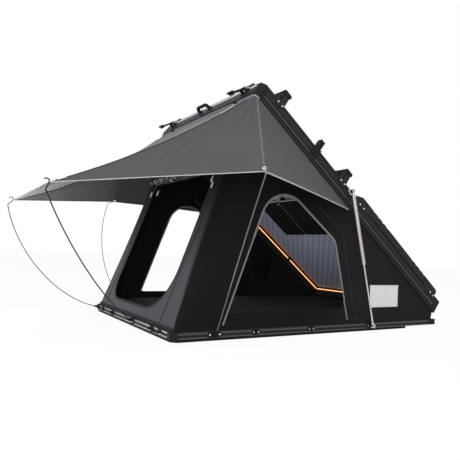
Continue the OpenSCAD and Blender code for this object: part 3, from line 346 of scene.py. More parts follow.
# %% [markdown]
# ## Cloth finishes
# The walls are coated poly-cotton: a fine plain weave, with a soft sheen at grazing angles and a
# slight blotch where the coating lies thicker. The weave is made from two crossed sine waves in
# the tent's own measures, so it has the same thread size on every piece and needs no unwrapping.
# The side walls are made paler towards the front as painted light, the rolled doors have painted
# shade in their folds and painted highlights on their crests, and the rear wall has painted light and
# shade.

# %% Cloth finishes
FRONT_LIGHT_FROM, FRONT_LIGHT_TO = -0.2, 0.4
REAR_FACING = (-0.947, 0, 0.320)


def woven(name, shade, rough=0.8, thread=0.0012, tint=(1, 1, 1), gloss=0.06, blotch=0.3, ribs=0.0,
          relief=0.6, front=1.0):
    """Coated plain weave; with front over 1 it is that much paler towards the tent's front, as painted
    light.
    """
    f = Finish(name)
    x, y, z = f.axes()
    pitch = math.pi / thread
    weave = ((x + y) * pitch).sine() * (z * pitch + (y * (pitch * 0.6))).sine()
    dust, broad = f.cloudy(260, detail=2.0), f.cloudy(3.2, detail=4.0)
    tone = broad * blotch + dust * 0.12 + (weave * 0.06) + (0.44 - blotch * 0.5)
    dark = [shade * 0.55 * t for t in tint] + [1]
    pale = [shade * 1.45 * t for t in tint] + [1]
    height = weave * 0.5 + dust * 0.6
    if ribs:
        height = height + ((x + y) * (math.pi / ribs)).sine().size() * 0.8
    colour = f.mix(tone, dark, pale)
    # Painted light: the canvas is paler towards the tent's front.
    if front > 1:
        front_painted_light = f.mix(tone, *([c * front for c in edge[:3]] + [1] for edge in (dark, pale)))
        colour = f.mix(f.ramp(x, FRONT_LIGHT_FROM, FRONT_LIGHT_TO), colour, front_painted_light)
    return f.surface({"Base Color": colour, "Roughness": rough + dust * 0.12 - 0.06,
                      "Specular IOR Level": gloss, "Sheen Weight": gloss * 0.4, "Sheen Roughness": 0.5,
                      "Normal": f.bump(height, thread * 0.35, relief)})


def crumpled_painted_shade(name, dark, pale):
    """Canvas in tight folds: painted shade in the folds and painted highlights on their crests."""
    f = Finish(name)
    # Painted shade in the folds and painted highlights on their crests.
    fold = f.ramp(f.cloudy(19, (0.7, 1, 1.6), 5.0), 0.42, 0.64)
    return f.surface({"Base Color": f.mix(fold, grey(dark), grey(pale)), "Roughness": 0.75,
                      "Specular IOR Level": 0.08, "Normal": f.bump(fold, 0.004, 0.8)})


def rear_canvas_painted_light(name, turned, painted_light_level):
    """The rear wall's canvas: black where it turns round the corners, and paler where it faces the rear,
    as painted light, palest low down and darker towards the top as painted shadow of the awning.
    """
    f = Finish(name)
    height = f.axes()[2]
    dust, broad = f.cloudy(260, detail=2.0), f.cloudy(3.2, detail=4.0)
    # Painted light: the canvas is paler where the wall faces the rear, palest low down, with painted
    # shadow of the awning towards the top.
    outward = f.node("ShaderNodeNewGeometry", out=1)
    rear_light_share = f.node("ShaderNodeVectorMath", {"operation": "DOT_PRODUCT"},
                      {0: outward, 1: REAR_FACING}, out=1)
    low = [painted_light_level * 1.55 * t for t in (0.98, 0.99, 1.14)] + [1]
    pale = f.mix(f.ramp(height, 0.30, 0.95), low, grey(painted_light_level * 0.40))
    shade = f.mix(f.ramp(rear_light_share, 0.90, 1.0), grey(turned), pale)
    tone = f.mix(broad * 0.3 + dust * 0.12 + 0.2, grey(0.72), grey(1.28))
    colour = f.node("ShaderNodeMix", {"data_type": "RGBA", "blend_type": "MULTIPLY"},
                    {0: 1.0, 6: shade, 7: tone}, 2)
    return f.surface({"Base Color": colour, "Roughness": 0.78 + dust * 0.1, "Specular IOR Level": 0.06,
                      "Normal": f.bump(dust, 0.0004, 0.5)})


print("cloth finishes ready")

# %% [markdown]
# ## The cloths
# One table holds every cloth, tape and thread, so their shades can be judged side by side. The walls
# and doors are nearly black, the awning is a mid grey, and only bindings and threads are pale.

# %% The cloths
CLOTH = {
    "wall_canvas": woven("wall_canvas", 0.0115, gloss=0.04),
    # The side walls' canvas is made paler towards the front, as painted light.
    "side_canvas_painted_front_light": woven("side_canvas_painted_front_light", 0.0122, gloss=0.04, front=1.6),
    # The rear wall's canvas has painted light and shade in its colour.
    "rear_canvas_painted_light": rear_canvas_painted_light("rear_canvas_painted_light", 0.0115, 0.060),
    # The rolled doors have painted shade in their folds and painted highlights on their crests.
    "rolled_canvas_painted_fold_shade": crumpled_painted_shade("rolled_canvas_painted_fold_shade", 0.010, 0.22),
    "side_roll_painted_fold_shade": crumpled_painted_shade("side_roll_painted_fold_shade", 0.008, 0.05),
    "mattress_cloth": woven("mattress_cloth", 0.031, 0.9, 0.002, (1.22, 0.97, 0.90), 0.03, 0.5),
    "awning_top": woven("awning_top", 0.086, 0.72, gloss=0.1),
    "awning_under": woven("awning_under", 0.055, 0.7, relief=0.2),
    # Paler copies of the awning cloth are painted light: the gores' underside, and both faces of the rear
    # panel, whose underside stands for light through the cloth.
    "awning_gore_under_painted_light": woven("awning_gore_under_painted_light", 0.115, 0.7, relief=0.2),
    "awning_rear_top_painted_light": woven("awning_rear_top_painted_light", 0.20, 0.72, gloss=0.04, relief=0.2),
    "awning_rear_under_painted_light": woven("awning_rear_under_painted_light", 0.33, 0.7, gloss=0.0, relief=0.1),
    "edge_binding": woven("edge_binding", 0.24, 0.7, 0.0016),
    "door_tape": woven("door_tape", 0.03, 0.7, 0.0016),
    "felled_seam": woven("felled_seam", 0.028, 0.7, 0.0016),
    "foot_tape": woven("foot_tape", 0.022, 0.7, 0.0016, (0.95, 0.97, 1.25)),
    "hem_binding": woven("hem_binding", 0.58, 0.7, 0.0016),
    "webbing": woven("webbing", 0.014, 0.65, 0.0018, ribs=0.003),
    "pale_patch": woven("pale_patch", 0.92, 0.6, 0.001, blotch=0.05),
    "piping": woven("piping", 0.30, 0.6, 0.0015, (0.93, 0.95, 1.30)),
    "white_thread": woven("white_thread", 0.75, 0.6, 0.001),
    "seam_thread": woven("seam_thread", 0.36, 0.6, 0.001),
}
print("cloths:", len(CLOTH))

# %% [markdown]
# ## Mesh helpers
# Cloth is a grid of points given a small thickness; bindings, hems and rods are rings skinned along a
# path. `Form` gathers such parts so that one sewn piece can hold several finishes, and then hands
# the finished mesh to the body that carries it.

# %% Form
SHARP_ANGLE = math.radians(48)


def hoop(centre, side, other, radius, count):
    """The points of a circle in the plane of two directions."""
    return [centre + side * (radius * math.cos(a)) + other * (radius * math.sin(a)) for a in around(count)]


class Form:
    """Points and faces of one piece; every face keeps the number of its finish."""

    def __init__(self):
        self.points, self.faces, self.finish = [], [], []

    def add(self, points, faces, finish=0):
        first = len(self.points)
        self.points += [tuple(p) for p in points]
        self.faces += [[first + k for k in face] for face in faces]
        self.finish += [finish] * len(faces)
        return first

    def cloth(self, rows, thick, wrap=False, front=0, back=0):
        """A thin sheet through rows of points; its front is where row x column would point."""
        grid = np.array([[tuple(p) for p in row] for row in rows])
        n, m = grid.shape[:2]
        across = np.roll(grid, -1, 1) - np.roll(grid, 1, 1) if wrap else np.gradient(grid, axis=1)
        out = np.cross(across, np.gradient(grid, axis=0))
        out /= np.maximum(np.linalg.norm(out, axis=2, keepdims=True), 1e-9)
        both = np.concatenate([(grid + out * thick / 2).reshape(-1, 3),
                               (grid - out * thick / 2).reshape(-1, 3)])
        last = m if wrap else m - 1
        cells = [(i * m + j, i * m + (j + 1) % m, (i + 1) * m + (j + 1) % m, (i + 1) * m + j)
                 for i in range(n - 1) for j in range(last)]
        low = n * m
        rim = [(j, (j + 1) % m) for j in range(last)]
        rim += [((n - 1) * m + (j + 1) % m, (n - 1) * m + j) for j in range(last)]
        if not wrap:
            rim += [((i + 1) * m, i * m) for i in range(n - 1)]
            rim += [(i * m + m - 1, (i + 1) * m + m - 1) for i in range(n - 1)]
        first = self.add(both, cells, front)
        for faces, finish in (([[low + k for k in reversed(c)] for c in cells], back),
                              ([(b, a, low + a, low + b) for a, b in rim], front)):
            self.faces += [[first + k for k in face] for face in faces]
            self.finish += [finish] * len(faces)

    def skin(self, rings, loop=False, finish=0):
        """A skin over rings of equal count, closed into a loop or capped at both ends."""
        n, m = len(rings), len(rings[0])
        faces = [(i * m + j, i * m + (j + 1) % m, (i + 1) % n * m + (j + 1) % m, (i + 1) % n * m + j)
                 for i in range(n if loop else n - 1) for j in range(m)]
        if not loop:
            faces += [list(reversed(range(m))), list(range((n - 1) * m, n * m))]
        self.add([p for ring in rings for p in ring], faces, finish)

    def tube(self, path, radius, sides=8, loop=False, face=None, thin=1.0, finish=0):
        """A tube along a path; with a face direction it is thinned that way, like tape."""
        path = [Vector(p) for p in path]
        n, rings, side = len(path), [], None
        for k in range(n):
            before = path[k - 1] if k or loop else path[k]
            after = path[(k + 1) % n] if k < n - 1 or loop else path[k]
            along = (after - before).normalized()
            hint = Vector(face) if face is not None else (side or along.orthogonal())
            side = (hint - along * hint.dot(along)).normalized()
            other = along.cross(side)
            r = radius[k] if hasattr(radius, "__len__") else radius
            rings.append([path[k] + side * (r * thin * math.cos(a)) + other * (r * math.sin(a))
                          for a in around(sides)])
        self.skin(rings, loop, finish)

    def piece(self, name, body, slot, *finishes):
        mesh = bpy.data.meshes.new(name)
        mesh.from_pydata(self.points, [], self.faces)
        for finish in finishes:
            mesh.materials.append(CLOTH.get(finish) or HARD[finish])
        mesh.polygons.foreach_set("material_index", self.finish)
        mesh.polygons.foreach_set("use_smooth", [True] * len(self.faces))
        mesh.set_sharp_from_angle(angle=SHARP_ANGLE)
        made = bpy.data.objects.new(name, mesh)
        scene.collection.objects.link(made)
        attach(made, body)
        return made


print("mesh helpers ready")

# %% [markdown]
# ## The opened lid and the wall outlines
# Everything on the lid is easiest to place as if the tent were shut, then turned up about the hinge.
# The walls need two kinds of outline: the straight edges that are clamped in the rails, and the
# door openings with rounded corners. Both are cut into the same four runs, so that a wall can be
# a set of rings going from its door out to its edges.

# %% Outlines
LID_ANGLE, HINGE_X, HINGE_Z = math.radians(38), 1.170, 0.072
ARC = 16
SIDES = ((-1, "near"), (1, "far"))
LID_ALONG = Vector((math.cos(LID_ANGLE), 0, -math.sin(LID_ANGLE)))
LID_UP = Vector((math.sin(LID_ANGLE), 0, math.cos(LID_ANGLE)))


def opened(x, y, z):
    return Vector((HINGE_X, y, HINGE_Z)) + LID_ALONG * (x - HINGE_X) + LID_UP * (z - HINGE_Z)


def blend(a, b, share):
    return a * (1 - share) + b * share


def spaced(points, count):
    """The polyline again, as count points at equal steps."""
    points = np.array([tuple(p) for p in points])
    steps = np.concatenate([[0], np.cumsum(np.linalg.norm(np.diff(points, axis=0), axis=1))])
    axes = range(points.shape[1])
    return [Vector([float(np.interp(t, steps, points[:, k])) for k in axes])
            for t in np.linspace(0, steps[-1], count)]


def rounded_runs(corners, radii, count):
    """A polygon with rounded corners as one run per side, each from mid-corner to mid-corner."""
    corners, arcs = [Vector(c) for c in corners], []
    for k, corner in enumerate(corners):
        back = (corners[k - 1] - corner).normalized()
        on = (corners[(k + 1) % len(corners)] - corner).normalized()
        half = back.angle(on) / 2
        middle = corner + (back + on).normalized() * (radii[k] / math.sin(half))
        start, stop = (corner + d * (radii[k] / math.tan(half)) - middle for d in (back, on))
        turn = start.angle(stop)
        arcs.append([middle + (start * math.sin(turn * (1 - s)) + stop * math.sin(turn * s))
                     / math.sin(turn) for s in (j / ARC for j in range(ARC + 1))])
    mid = ARC // 2
    return [spaced(arcs[k][mid:] + arcs[(k + 1) % len(arcs)][:mid + 1], count) for k in range(len(arcs))]


def edge_runs(corners, count):
    corners = [Vector(c) for c in corners]
    return [spaced([corners[k], corners[(k + 1) % len(corners)]], count) for k in range(len(corners))]


def joined(runs):
    return [p for run in runs for p in run[:-1]]


def rumple(a, b, seed):
    return noise.noise(Vector((a, b, seed))) + 0.5 * noise.noise(Vector((2.1 * a, 2.1 * b, seed + 7)))


WALL_Y, FOOT_Z, FRONT_X, REAR_X = 0.685, 0.0562, 1.085, -1.085
rear_head, front_head = opened(-1.084, 0, 0.0596), opened(1.085, 0, 0.0596)
rear_foot = Vector((REAR_X, 0, FOOT_Z))
REAR_UP, REAR_TALL = (rear_head - rear_foot).normalized(), (rear_head - rear_foot).length
REAR_OUT = Vector((-REAR_UP.z, 0, REAR_UP.x))
SOFTEST = 0.65


def corner_radius(s):
    """The walls turn more softly into each other towards the upper half than at the tray and lid."""
    t = min(1.0, max(0.0, s / REAR_TALL))
    rise = math.sin(math.pi / 2 * min(1.0, t / SOFTEST))
    tuck = max(0.0, (t - SOFTEST) / (1 - SOFTEST)) ** 2
    return 0.030 + 0.125 * rise - 0.11 * tuck


def corner_turn(distance, s):
    """Near the walls' shared corner: how far a point moves along its wall, and how far in."""
    radius = corner_radius(s)
    turn = math.pi / 4 * max(0.0, 1 - distance / radius)
    along = radius * (1 - math.sin(turn)) - distance if turn else 0.0
    return along, radius * (1 - math.cos(turn))


print("lid rises to", round(rear_head.z, 3), "m at the rear")

# %% [markdown]
# ## Side walls
# Each side wall is a triangle of canvas with a tall arched doorway. It hangs from the lid and is
# clamped in the tray, so it draws in a little between its edges, puckers beside the doorway and
# turns softly into the rear wall. The jambs and the arch are bound with a paler tape, and a felled
# seam follows them. Rings from the doorway to the edges let the puckers follow the pull of the sewn
# edges, which a flat cut-out would not show.

# %% Side walls
WALL_THICK, DOOR_AREA = 0.0018, 0.60
SIDE_EDGE = [(REAR_X, FOOT_Z), (FRONT_X, FOOT_Z), (front_head.x, front_head.z),
             (rear_head.x, rear_head.z)]
SIDE_DOOR = [(-0.751, 0.150), (0.186, 0.150), (0.070, 0.607), (-0.444, 0.985)]
SIDE_SEAM = [(-0.850, 0.066), (0.276, 0.066), (0.136, 0.672), (-0.445, 1.085)]
RUN = 34
door_runs = rounded_runs(SIDE_DOOR, (0.010, 0.055, 0.11, 0.185), RUN)
seam_runs = rounded_runs(SIDE_SEAM, (0.014, 0.014, 0.16, 0.24), RUN)
side_door, side_edge = joined(door_runs), joined(edge_runs(SIDE_EDGE, RUN))
RINGS = [(k / 15) ** 1.25 for k in range(13)] + [0.87, 0.90, 0.925, 0.945, 0.96, 0.975, 0.99, 1.0]
SIDE_WALLS = {}


def fold_away(made):
    """Gives the piece its own copy of its mesh."""
    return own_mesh(made)


def side_point(x, z, r, side):
    """A point of a side wall at share r from its doorway to its edge."""
    taut = math.sin(math.pi * min(1.0, r))
    pull = 0.010 * taut + 0.005 * taut * rumple(x * 7, z * 3, 4.0 + side)
    spot = Vector((x, 0, z)) - rear_foot
    along, inward = corner_turn(spot.dot(-REAR_OUT), spot.dot(REAR_UP))
    return Vector((x, side * (WALL_Y - pull - inward), z)) - REAR_OUT * along


def on_wall(wall, side, x, z, lift):
    """A place just outside a side wall, from the points of its cloth around it."""
    spots = np.array([v.co for v in wall.data.vertices])
    close = np.argsort(np.hypot(spots[:, 0] - x, spots[:, 2] - z))[:12]
    return Vector((x, side * (float((spots[close, 1] * side).max()) + lift), z))


def side_wall(name, node, side):
    wall, rows = Form(), []
    for r in RINGS:
        row = []
        for d, e in zip(side_door, side_edge):
            p = blend(d, e, r)
            row.append(side_point(p.x, p.y, r, side))
        rows.append(row if side > 0 else row[::-1])
    wall.cloth(rows, WALL_THICK, wrap=True)
    made = wall.piece(name, "base", "canvas_black", "side_canvas_painted_front_light")
    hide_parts(node)

    tape = Form()
    jambs = [p for run in door_runs[1:] for p in run[1:] if p.y > 0.19]
    jambs = [Vector((0.204, 0.081))] + jambs + [Vector((-0.776, 0.081))]
    wide = [0.0075 if p.y > 0.60 else 0.0056 for p in jambs]
    tape.tube([(p.x, side * WALL_Y, p.y) for p in jambs], wide, 8, False, (0, 1, 0), 0.36)
    for run in (seam_runs[1], seam_runs[2][:RUN // 2]):
        tape.tube([on_wall(made, side, p.x, p.y, 0.0004) for p in run], 0.0045, 6, False, (0, 1, 0),
                  0.3, 1)
    bound = fold_away(tape.piece(name + "_door_binding", "base", "canvas_black", "edge_binding",
                                 "felled_seam"))
    area = abs(sum(a[0] * b[1] - b[0] * a[1] for a, b in
                   zip(SIDE_EDGE, SIDE_EDGE[1:] + SIDE_EDGE[:1]))) / 2 - DOOR_AREA
    "base_rail_near" if side < 0 else "base_rail_far"
    "roof_rail_near" if side < 0 else "roof_rail_far"
    SIDE_WALLS[name] = made


for side, mark in SIDES:
    side_wall(mark + "_wall", "side_wall_" + mark, side)
print("side walls:", list(SIDE_WALLS))

# %% [markdown]
# ## Rear wall
# The rear wall leans outwards and is drawn in at its middle, because the side walls pull on its
# edges. Its doorway is a tall rounded slot. Flat-felled seams run beside the doorway, and a taped foot
# meets the tray.

# %% Rear wall
def rear_point(y, s, out=0.0):
    return rear_foot + REAR_UP * s + REAR_OUT * out + Vector((0, y, 0))


REAR_SET = 0.001
REAR_DOOR = [(-0.455, 0.078), (0.492, 0.078), (0.440, 0.998), (-0.490, 0.998)]
REAR_SEAMS = [[(-0.474, 0.01), (-0.493, 0.357), (-0.535, 0.600), (-0.521, 0.837), (-0.515, 1.44)],
              [(0.556, 0.01), (0.501, 0.338), (0.495, 0.600), (0.498, 1.44)]]
rear_door = joined(rounded_runs(REAR_DOOR, (0.30, 0.14, 0.06, 0.06), RUN))
rear_edge = joined(edge_runs([(-WALL_Y, 0), (WALL_Y, 0), (WALL_Y, REAR_TALL), (-WALL_Y, REAR_TALL)],
                             RUN))


def rear_hollow(y, s):
    """How far the rear wall is drawn in at a place on it."""
    across, up = 1 - (y / WALL_Y) ** 2, math.sin(math.pi * min(1, max(0, s / REAR_TALL)))
    return 0.016 * max(0.0, across) * up + 0.004 * up * max(0.0, across) * rumple(y * 6, s * 2.5, 11.0)


rear_wall, rows = Form(), []
for r in RINGS:
    row = []
    for d, e in zip(rear_door, rear_edge):
        p = blend(d, e, r)
        along, inward = corner_turn(WALL_Y - abs(p.x), p.y)
        y = p.x - math.copysign(along, p.x)
        row.append(rear_point(y, p.y, -REAR_SET - rear_hollow(p.x, p.y) - inward))
    rows.append(row[::-1])
rear_wall.cloth(rows, WALL_THICK, wrap=True)
made = rear_wall.piece("rear_wall_cloth", "base", "canvas_black", "rear_canvas_painted_light")
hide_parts("rear_wall")

tape = Form()
tape.tube([rear_point(p.x, p.y, -REAR_SET - rear_hollow(p.x, p.y)) for p in rear_door], 0.009, 8, True,
          REAR_OUT, 0.36)
for seam in REAR_SEAMS:
    run = [rear_point(p.x, p.y, -0.0005 - rear_hollow(p.x, p.y)) for p in spaced(seam, 40)]
    tape.tube(run, 0.006, 6, False, REAR_OUT, 0.4, 1)
skirt = [rear_point(y, 0.0095, 0.002) for y in np.linspace(-WALL_Y + 0.02, WALL_Y - 0.02, 60)]
tape.tube(skirt, 0.0095, 8, False, REAR_OUT, 0.22, 2)
rear_tape = fold_away(tape.piece("rear_wall_tapes", "base", "canvas_black", "door_tape", "webbing",
                                 "foot_tape"))
2 * WALL_Y * REAR_TALL - 0.82
fold_away(made)
print("rear wall:", round(REAR_TALL, 3), "m tall")

# %% [markdown]
# ## Corner piping and the front gusset
# Where the rear and side walls meet, the seam is turned over a thin cord at the middle of the soft
# corner. At the hinge a narrow strip of canvas closes the last gap in the front.

# %% Corner piping and gusset
cord_seam = Form()
for side in (-1, 1):
    run = []
    for s in np.linspace(0.004, REAR_TALL - 0.006, 40):
        turned_in = corner_radius(s) * (1 - math.sqrt(0.5))
        run.append(rear_point(side * (WALL_Y - turned_in), s, -turned_in - REAR_SET))
    cord_seam.tube(run, 0.0026, 8)
fold_away(cord_seam.piece("corner_piping", "base", "canvas_black", "wall_canvas"))

gusset = Form()
low, high = Vector((FRONT_X, 0, FOOT_Z)), front_head
gusset.cloth([[blend(low, high, s) + Vector((0.0015 * math.sin(math.pi * s), y, 0))
               for y in np.linspace(-0.6842, 0.6842, 60)] for s in np.linspace(0.02, 0.98, 8)], 0.0016)
made = gusset.piece("front_gusset_cloth", "base", "canvas_black", "wall_canvas")
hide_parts("front_gusset")
0.96 * (high - low).length
fold_away(made)
print("gusset:", round((high - low).length, 3), "m")

# %% [markdown]
# ## Rolled doors
# Each door flap is rolled up and tied. A roll of cloth is not a smooth bar: its outer lap leaves a
# lip along its length, it is loosest between its ties and nipped in at each one, and its ends show
# the wound layers. So each roll is skinned from rings whose radius follows those three things.

# %% Rolled doors
ROLL_SIDES = 28
ROLL_END = ((0.010, 0.15), (0.004, 0.42), (0.009, 0.6), (0.002, 0.8))
TIE_NIP, TIE_REACH = 0.20, 0.035


def cloth_roll(form, start, stop, radius, out, ties, seed, crumple=0.07):
    along = (stop - start).normalized()
    length, lip = (stop - start).length, Vector(out).normalized()
    other = along.cross(lip)

    def ring_at(u, scale):
        nip = 1 - TIE_NIP * sum(math.exp(-((u - t) * length / TIE_REACH) ** 2) for t in ties)
        ring = []
        for j, a in enumerate(around(ROLL_SIDES)):
            r = radius * nip * scale * (0.90 + 0.10 * (j / ROLL_SIDES))
            r *= 1 + crumple * rumple(u * length * 24, 2.6 * math.cos(a), seed + 2 * math.sin(a))
            middle = start + along * (u * length)
            ring.append(middle + lip * (r * math.cos(a)) + other * (r * math.sin(a)))
        return ring

    rings = [ring_at(depth / length, scale) for depth, scale in ROLL_END]
    rings += [ring_at(u, 1.0) for u in np.linspace(0.002, 0.998, 140)]
    rings += [ring_at(1 - depth / length, scale) for depth, scale in reversed(ROLL_END)]
    form.skin(rings)
    for t in ties:
        tie = hoop(start + along * (t * length), lip, other, radius * 0.80 + 0.0012, ROLL_SIDES)
        for shift in (-0.0055, 0.0, 0.0055):
            form.tube([p + along * shift for p in tie], 0.0034, 6, True, finish=1)


rear_roll = Form()
ROLL_S, ROLL_R = 1.012, 0.029
cloth_roll(rear_roll, rear_point(-0.48, ROLL_S, ROLL_R * 0.6), rear_point(0.48, ROLL_S, ROLL_R * 0.6),
           ROLL_R, REAR_OUT, (0.06, 0.5, 0.94), 21.0, 0.30)
made = rear_roll.piece("rear_door_rolled", "base", "canvas_black", "rolled_canvas_painted_fold_shade", "webbing")
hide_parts("rear_door_roll")
fold_away(made)

head_rear, head_front = (Vector((p[0], 0, p[1])) for p in (SIDE_DOOR[3], SIDE_DOOR[2]))
head_line = head_front - head_rear
head_up = Vector((-head_line.z, 0, head_line.x)).normalized()
for side, mark in SIDES:
    start = head_rear + head_line * 0.16 + head_up * 0.042 + Vector((0, side * 0.650, 0))
    side_roll = Form()
    cloth_roll(side_roll, start, start + head_line * 0.78, 0.016, (0, -side, 0), (0.12, 0.5, 0.88),
               30.0 + side)
    made = side_roll.piece(mark + "_door_rolled", "base", "canvas_black", "side_roll_painted_fold_shade", "webbing")
    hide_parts("side_door_roll_" + mark)
    fold_away(made)
print("rear roll:", round(2 * ROLL_R, 3), "m thick")

# %% [markdown]
# ## Toggles, wall patch and pocket
# Small sewn things: the toggles that hold the rear roll, a plain pale patch on the near wall, and a
# flat pocket on the inside of the far wall. Each has a turned edge, so it reads as sewn on and not
# as a painted area.

# %% Toggles, patch and pocket
toggles = Form()
for y, s in ((-0.504, 0.937), (-0.533, 0.894), (0.315, 0.909), (0.441, 0.907)):
    base = rear_point(y, s, 0.006)
    toggles.tube([base + REAR_UP * t for t in (-0.021, -0.019, -0.008, 0.008, 0.019, 0.021)],
                 [0.003, 0.0064, 0.0075, 0.0075, 0.0064, 0.003], 10, False, REAR_OUT, 0.7, 1)
    toggles.tube([rear_point(y, s + 0.020 + 0.014 * t, 0.0045) for t in range(6)], 0.0022, 6)
fold_away(toggles.piece("rear_toggles", "base", "canvas_black", "webbing", "white_thread"))

PATCH_X, PATCH_Z, INSET = (0.419, 0.712), (0.157, 0.313), 0.007
near_wall = SIDE_WALLS["near_wall"]
patch, rows = Form(), []
for x in np.linspace(*PATCH_X, 24):
    rows.append([on_wall(near_wall, -1, x, z, 0.0012) for z in np.linspace(*PATCH_Z, 14)])
patch.cloth(rows, 0.0014)
left, right = PATCH_X[0] + INSET, PATCH_X[1] - INSET
low, high = PATCH_Z[0] + INSET, PATCH_Z[1] - INSET
stitch = joined(edge_runs([(left, low), (right, low), (right, high), (left, high)], 40))
for k in range(0, len(stitch), 2):
    pair = [stitch[k], stitch[(k + 1) % len(stitch)]]
    patch.tube([on_wall(near_wall, -1, p.x, p.y, 0.0022) for p in pair], 0.0007, 5, finish=1)
made = patch.piece("near_wall_patch", "base", "canvas_black", "pale_patch", "piping")
fold_away(made)
for wall in SIDE_WALLS.values():
    fold_away(wall)

POCKET_X, POCKET_WIDE, POCKET_Z, POCKET_TALL, FULLNESS = 0.332, 0.226, 0.178, 0.296, 0.6
pocket = Form()
for back in (0, 1):
    rows = []
    for u in np.linspace(0, 1, 26):
        row = []
        for v in np.linspace(0, 1, 26):
            full = math.sin(math.pi * u) ** FULLNESS * math.sin(math.pi * min(1.0, v * 0.5 + 0.02)) ** 0.8
            swell = 0.012 * full + 0.0015 * full * rumple(u * 5, v * 5, 44.0)
            y = 0.6826 - (0 if back else 0.0015 + swell)
            row.append((POCKET_X + POCKET_WIDE * u, y, POCKET_Z + POCKET_TALL * v))
        rows.append(row)
    pocket.cloth(rows, 0.0013)
for z, swell in ((0.474, 0.012), (0.312, 0.0155)):
    pocket.tube([(POCKET_X + POCKET_WIDE * u, 0.6806 - swell * math.sin(math.pi * u) ** FULLNESS, z)
                 for u in np.linspace(0, 1, 20)], 0.0032, 6, finish=1)
made = pocket.piece("far_wall_pocket", "base", "canvas_black", "wall_canvas", "door_tape")
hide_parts("wall_pocket")
fold_away(made)

# %% [markdown]
# ## Mattress
# A thin foam slab in a quilted cover: it is crowned, its sides pull in between the corners, and sewn
# channels cross it. One closed skin is made of rings that go from the underside round the edge and
# in over the top, so the rounded edge and the crown are one surface.

# %% Mattress
MAT_LOW, MAT_HIGH, MAT_X, MAT_Y, FIELDS = 0.0324, 0.1036, 1.056, 0.656, 6
MAT_SIDES, MAT_SQUARE, MAT_EDGE, END_PULL, SIDE_PULL = 160, 9, 0.012, 0.012, 0.006


def mattress_ring(inset, height):
    """A rounded-rectangle ring of the mattress, drawn in along its sides."""
    ring = []
    for a in around(MAT_SIDES):
        c, s = math.cos(a), math.sin(a)
        grow = 1 / max(abs(c) ** MAT_SQUARE + abs(s) ** MAT_SQUARE, 1e-9) ** (1 / MAT_SQUARE)
        u, v = c * grow, s * grow
        x = u * (MAT_X - inset - END_PULL * (1 - v * v))
        y = v * (MAT_Y - inset - SIDE_PULL * (1 - u * u))
        ring.append((x, y, height(x, y)))
    return ring


def crown(x, y):
    u, v = min(1.0, abs(x) / MAT_X), min(1.0, abs(y) / MAT_Y)
    field = abs(math.sin(math.pi * FIELDS * (x + MAT_X) / (2 * MAT_X)))
    puff = 0.006 * (min(1.0, field * 3.0) - 1) * (1 - v ** 6)
    slack = 0.004 * rumple(x * 2.2, y * 9, 51.0) * (1 - v ** 8) * (1 - u ** 8)
    return MAT_HIGH + 0.011 * (1 - u ** 4) * (1 - v ** 4) + puff + slack


rings = [mattress_ring(inset, lambda x, y: MAT_LOW) for inset in (0.30, MAT_EDGE)]
for turn in np.linspace(-1.2, 1.2, 9):
    side_z = blend(MAT_LOW, MAT_HIGH - 0.004, (math.sin(turn) + 1) / 2)
    rings.append(mattress_ring(MAT_EDGE * (1 - math.cos(turn)), lambda x, y: side_z))
for inset in np.linspace(MAT_EDGE, 0.60, 60):
    rings.append(mattress_ring(inset, crown))
mattress = Form()
mattress.skin(rings)
mattress.tube(mattress_ring(0.003, lambda x, y: MAT_HIGH - 0.006), 0.003, 6, True, finish=1)
made = mattress.piece("mattress_cover", "base", "mattress_cloth", "mattress_cloth", "webbing")
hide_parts("mattress")
print("mattress:", 2 * MAT_X, "x", 2 * MAT_Y, "m")

# %% [markdown]
# ## Quilted liner
# The lid is lined with a padded cloth sewn in diamonds. The pads stand out between the stitch
# lines, so the height is the product of two crossed waves, which is zero along both families of
# stitches. It is made flat on the shut lid and turned up with it.

# %% Quilted liner
LINER_X, LINER_Y, LINER_EDGE = (-1.0798, 1.0698), 0.6698, 0.02
STITCH_Z, BACK_Z, PUFF = 0.1382, 0.1542, 0.0075
DIAMOND = (0.078, 0.070)


def quilt(x, y):
    p, q = x / DIAMOND[0] + y / DIAMOND[1], x / DIAMOND[0] - y / DIAMOND[1]
    pad = abs(math.sin(math.pi * p) * math.sin(math.pi * q)) ** 0.45
    edge = min(1.0, (LINER_Y - abs(y)) / LINER_EDGE, (x - LINER_X[0]) / LINER_EDGE,
               (LINER_X[1] - x) / LINER_EDGE)
    return STITCH_Z + (1 - edge) * 0.006 - PUFF * pad * max(0.0, edge)


def quilted(name, shade, tint):
    """Padded cloth: paler on the pads and darker along the stitch lines as painted light and shade, with
    painted amber glow from the light strips beside them.
    """
    f = Finish(name)
    x, y, z = f.axes()
    hinge_at = HINGE_X * LID_ALONG.x + HINGE_Z * LID_ALONG.z - HINGE_X
    along = x * LID_ALONG.x + z * LID_ALONG.z - hinge_at
    p, q = (along * (math.pi / DIAMOND[0]) + y * (turn * math.pi / DIAMOND[1]) for turn in (1, -1))
    pad = (p.sine() * q.sine()).size() ** 0.4
    dust = f.cloudy(240, detail=2.0)
    # Painted shade along the stitch lines and painted highlight on the pads.
    tone = pad * 0.85 + dust * 0.15
    dark, pale = ([shade * share * t for t in tint] + [1] for share in (0.42, 1.12))
    # Painted amber glow from the light strips on the pads beside them.
    lit = f.ramp(y.size(), 0.57, 0.665) * pad
    colour = f.mix(lit, f.mix(tone, dark, pale), (1.0, 0.30, 0.04, 1))
    return f.surface({"Base Color": colour, "Roughness": 0.72 + dust * 0.1,
                      "Specular IOR Level": 0.15, "Normal": f.bump(dust + pad, 0.0006, 0.5)})


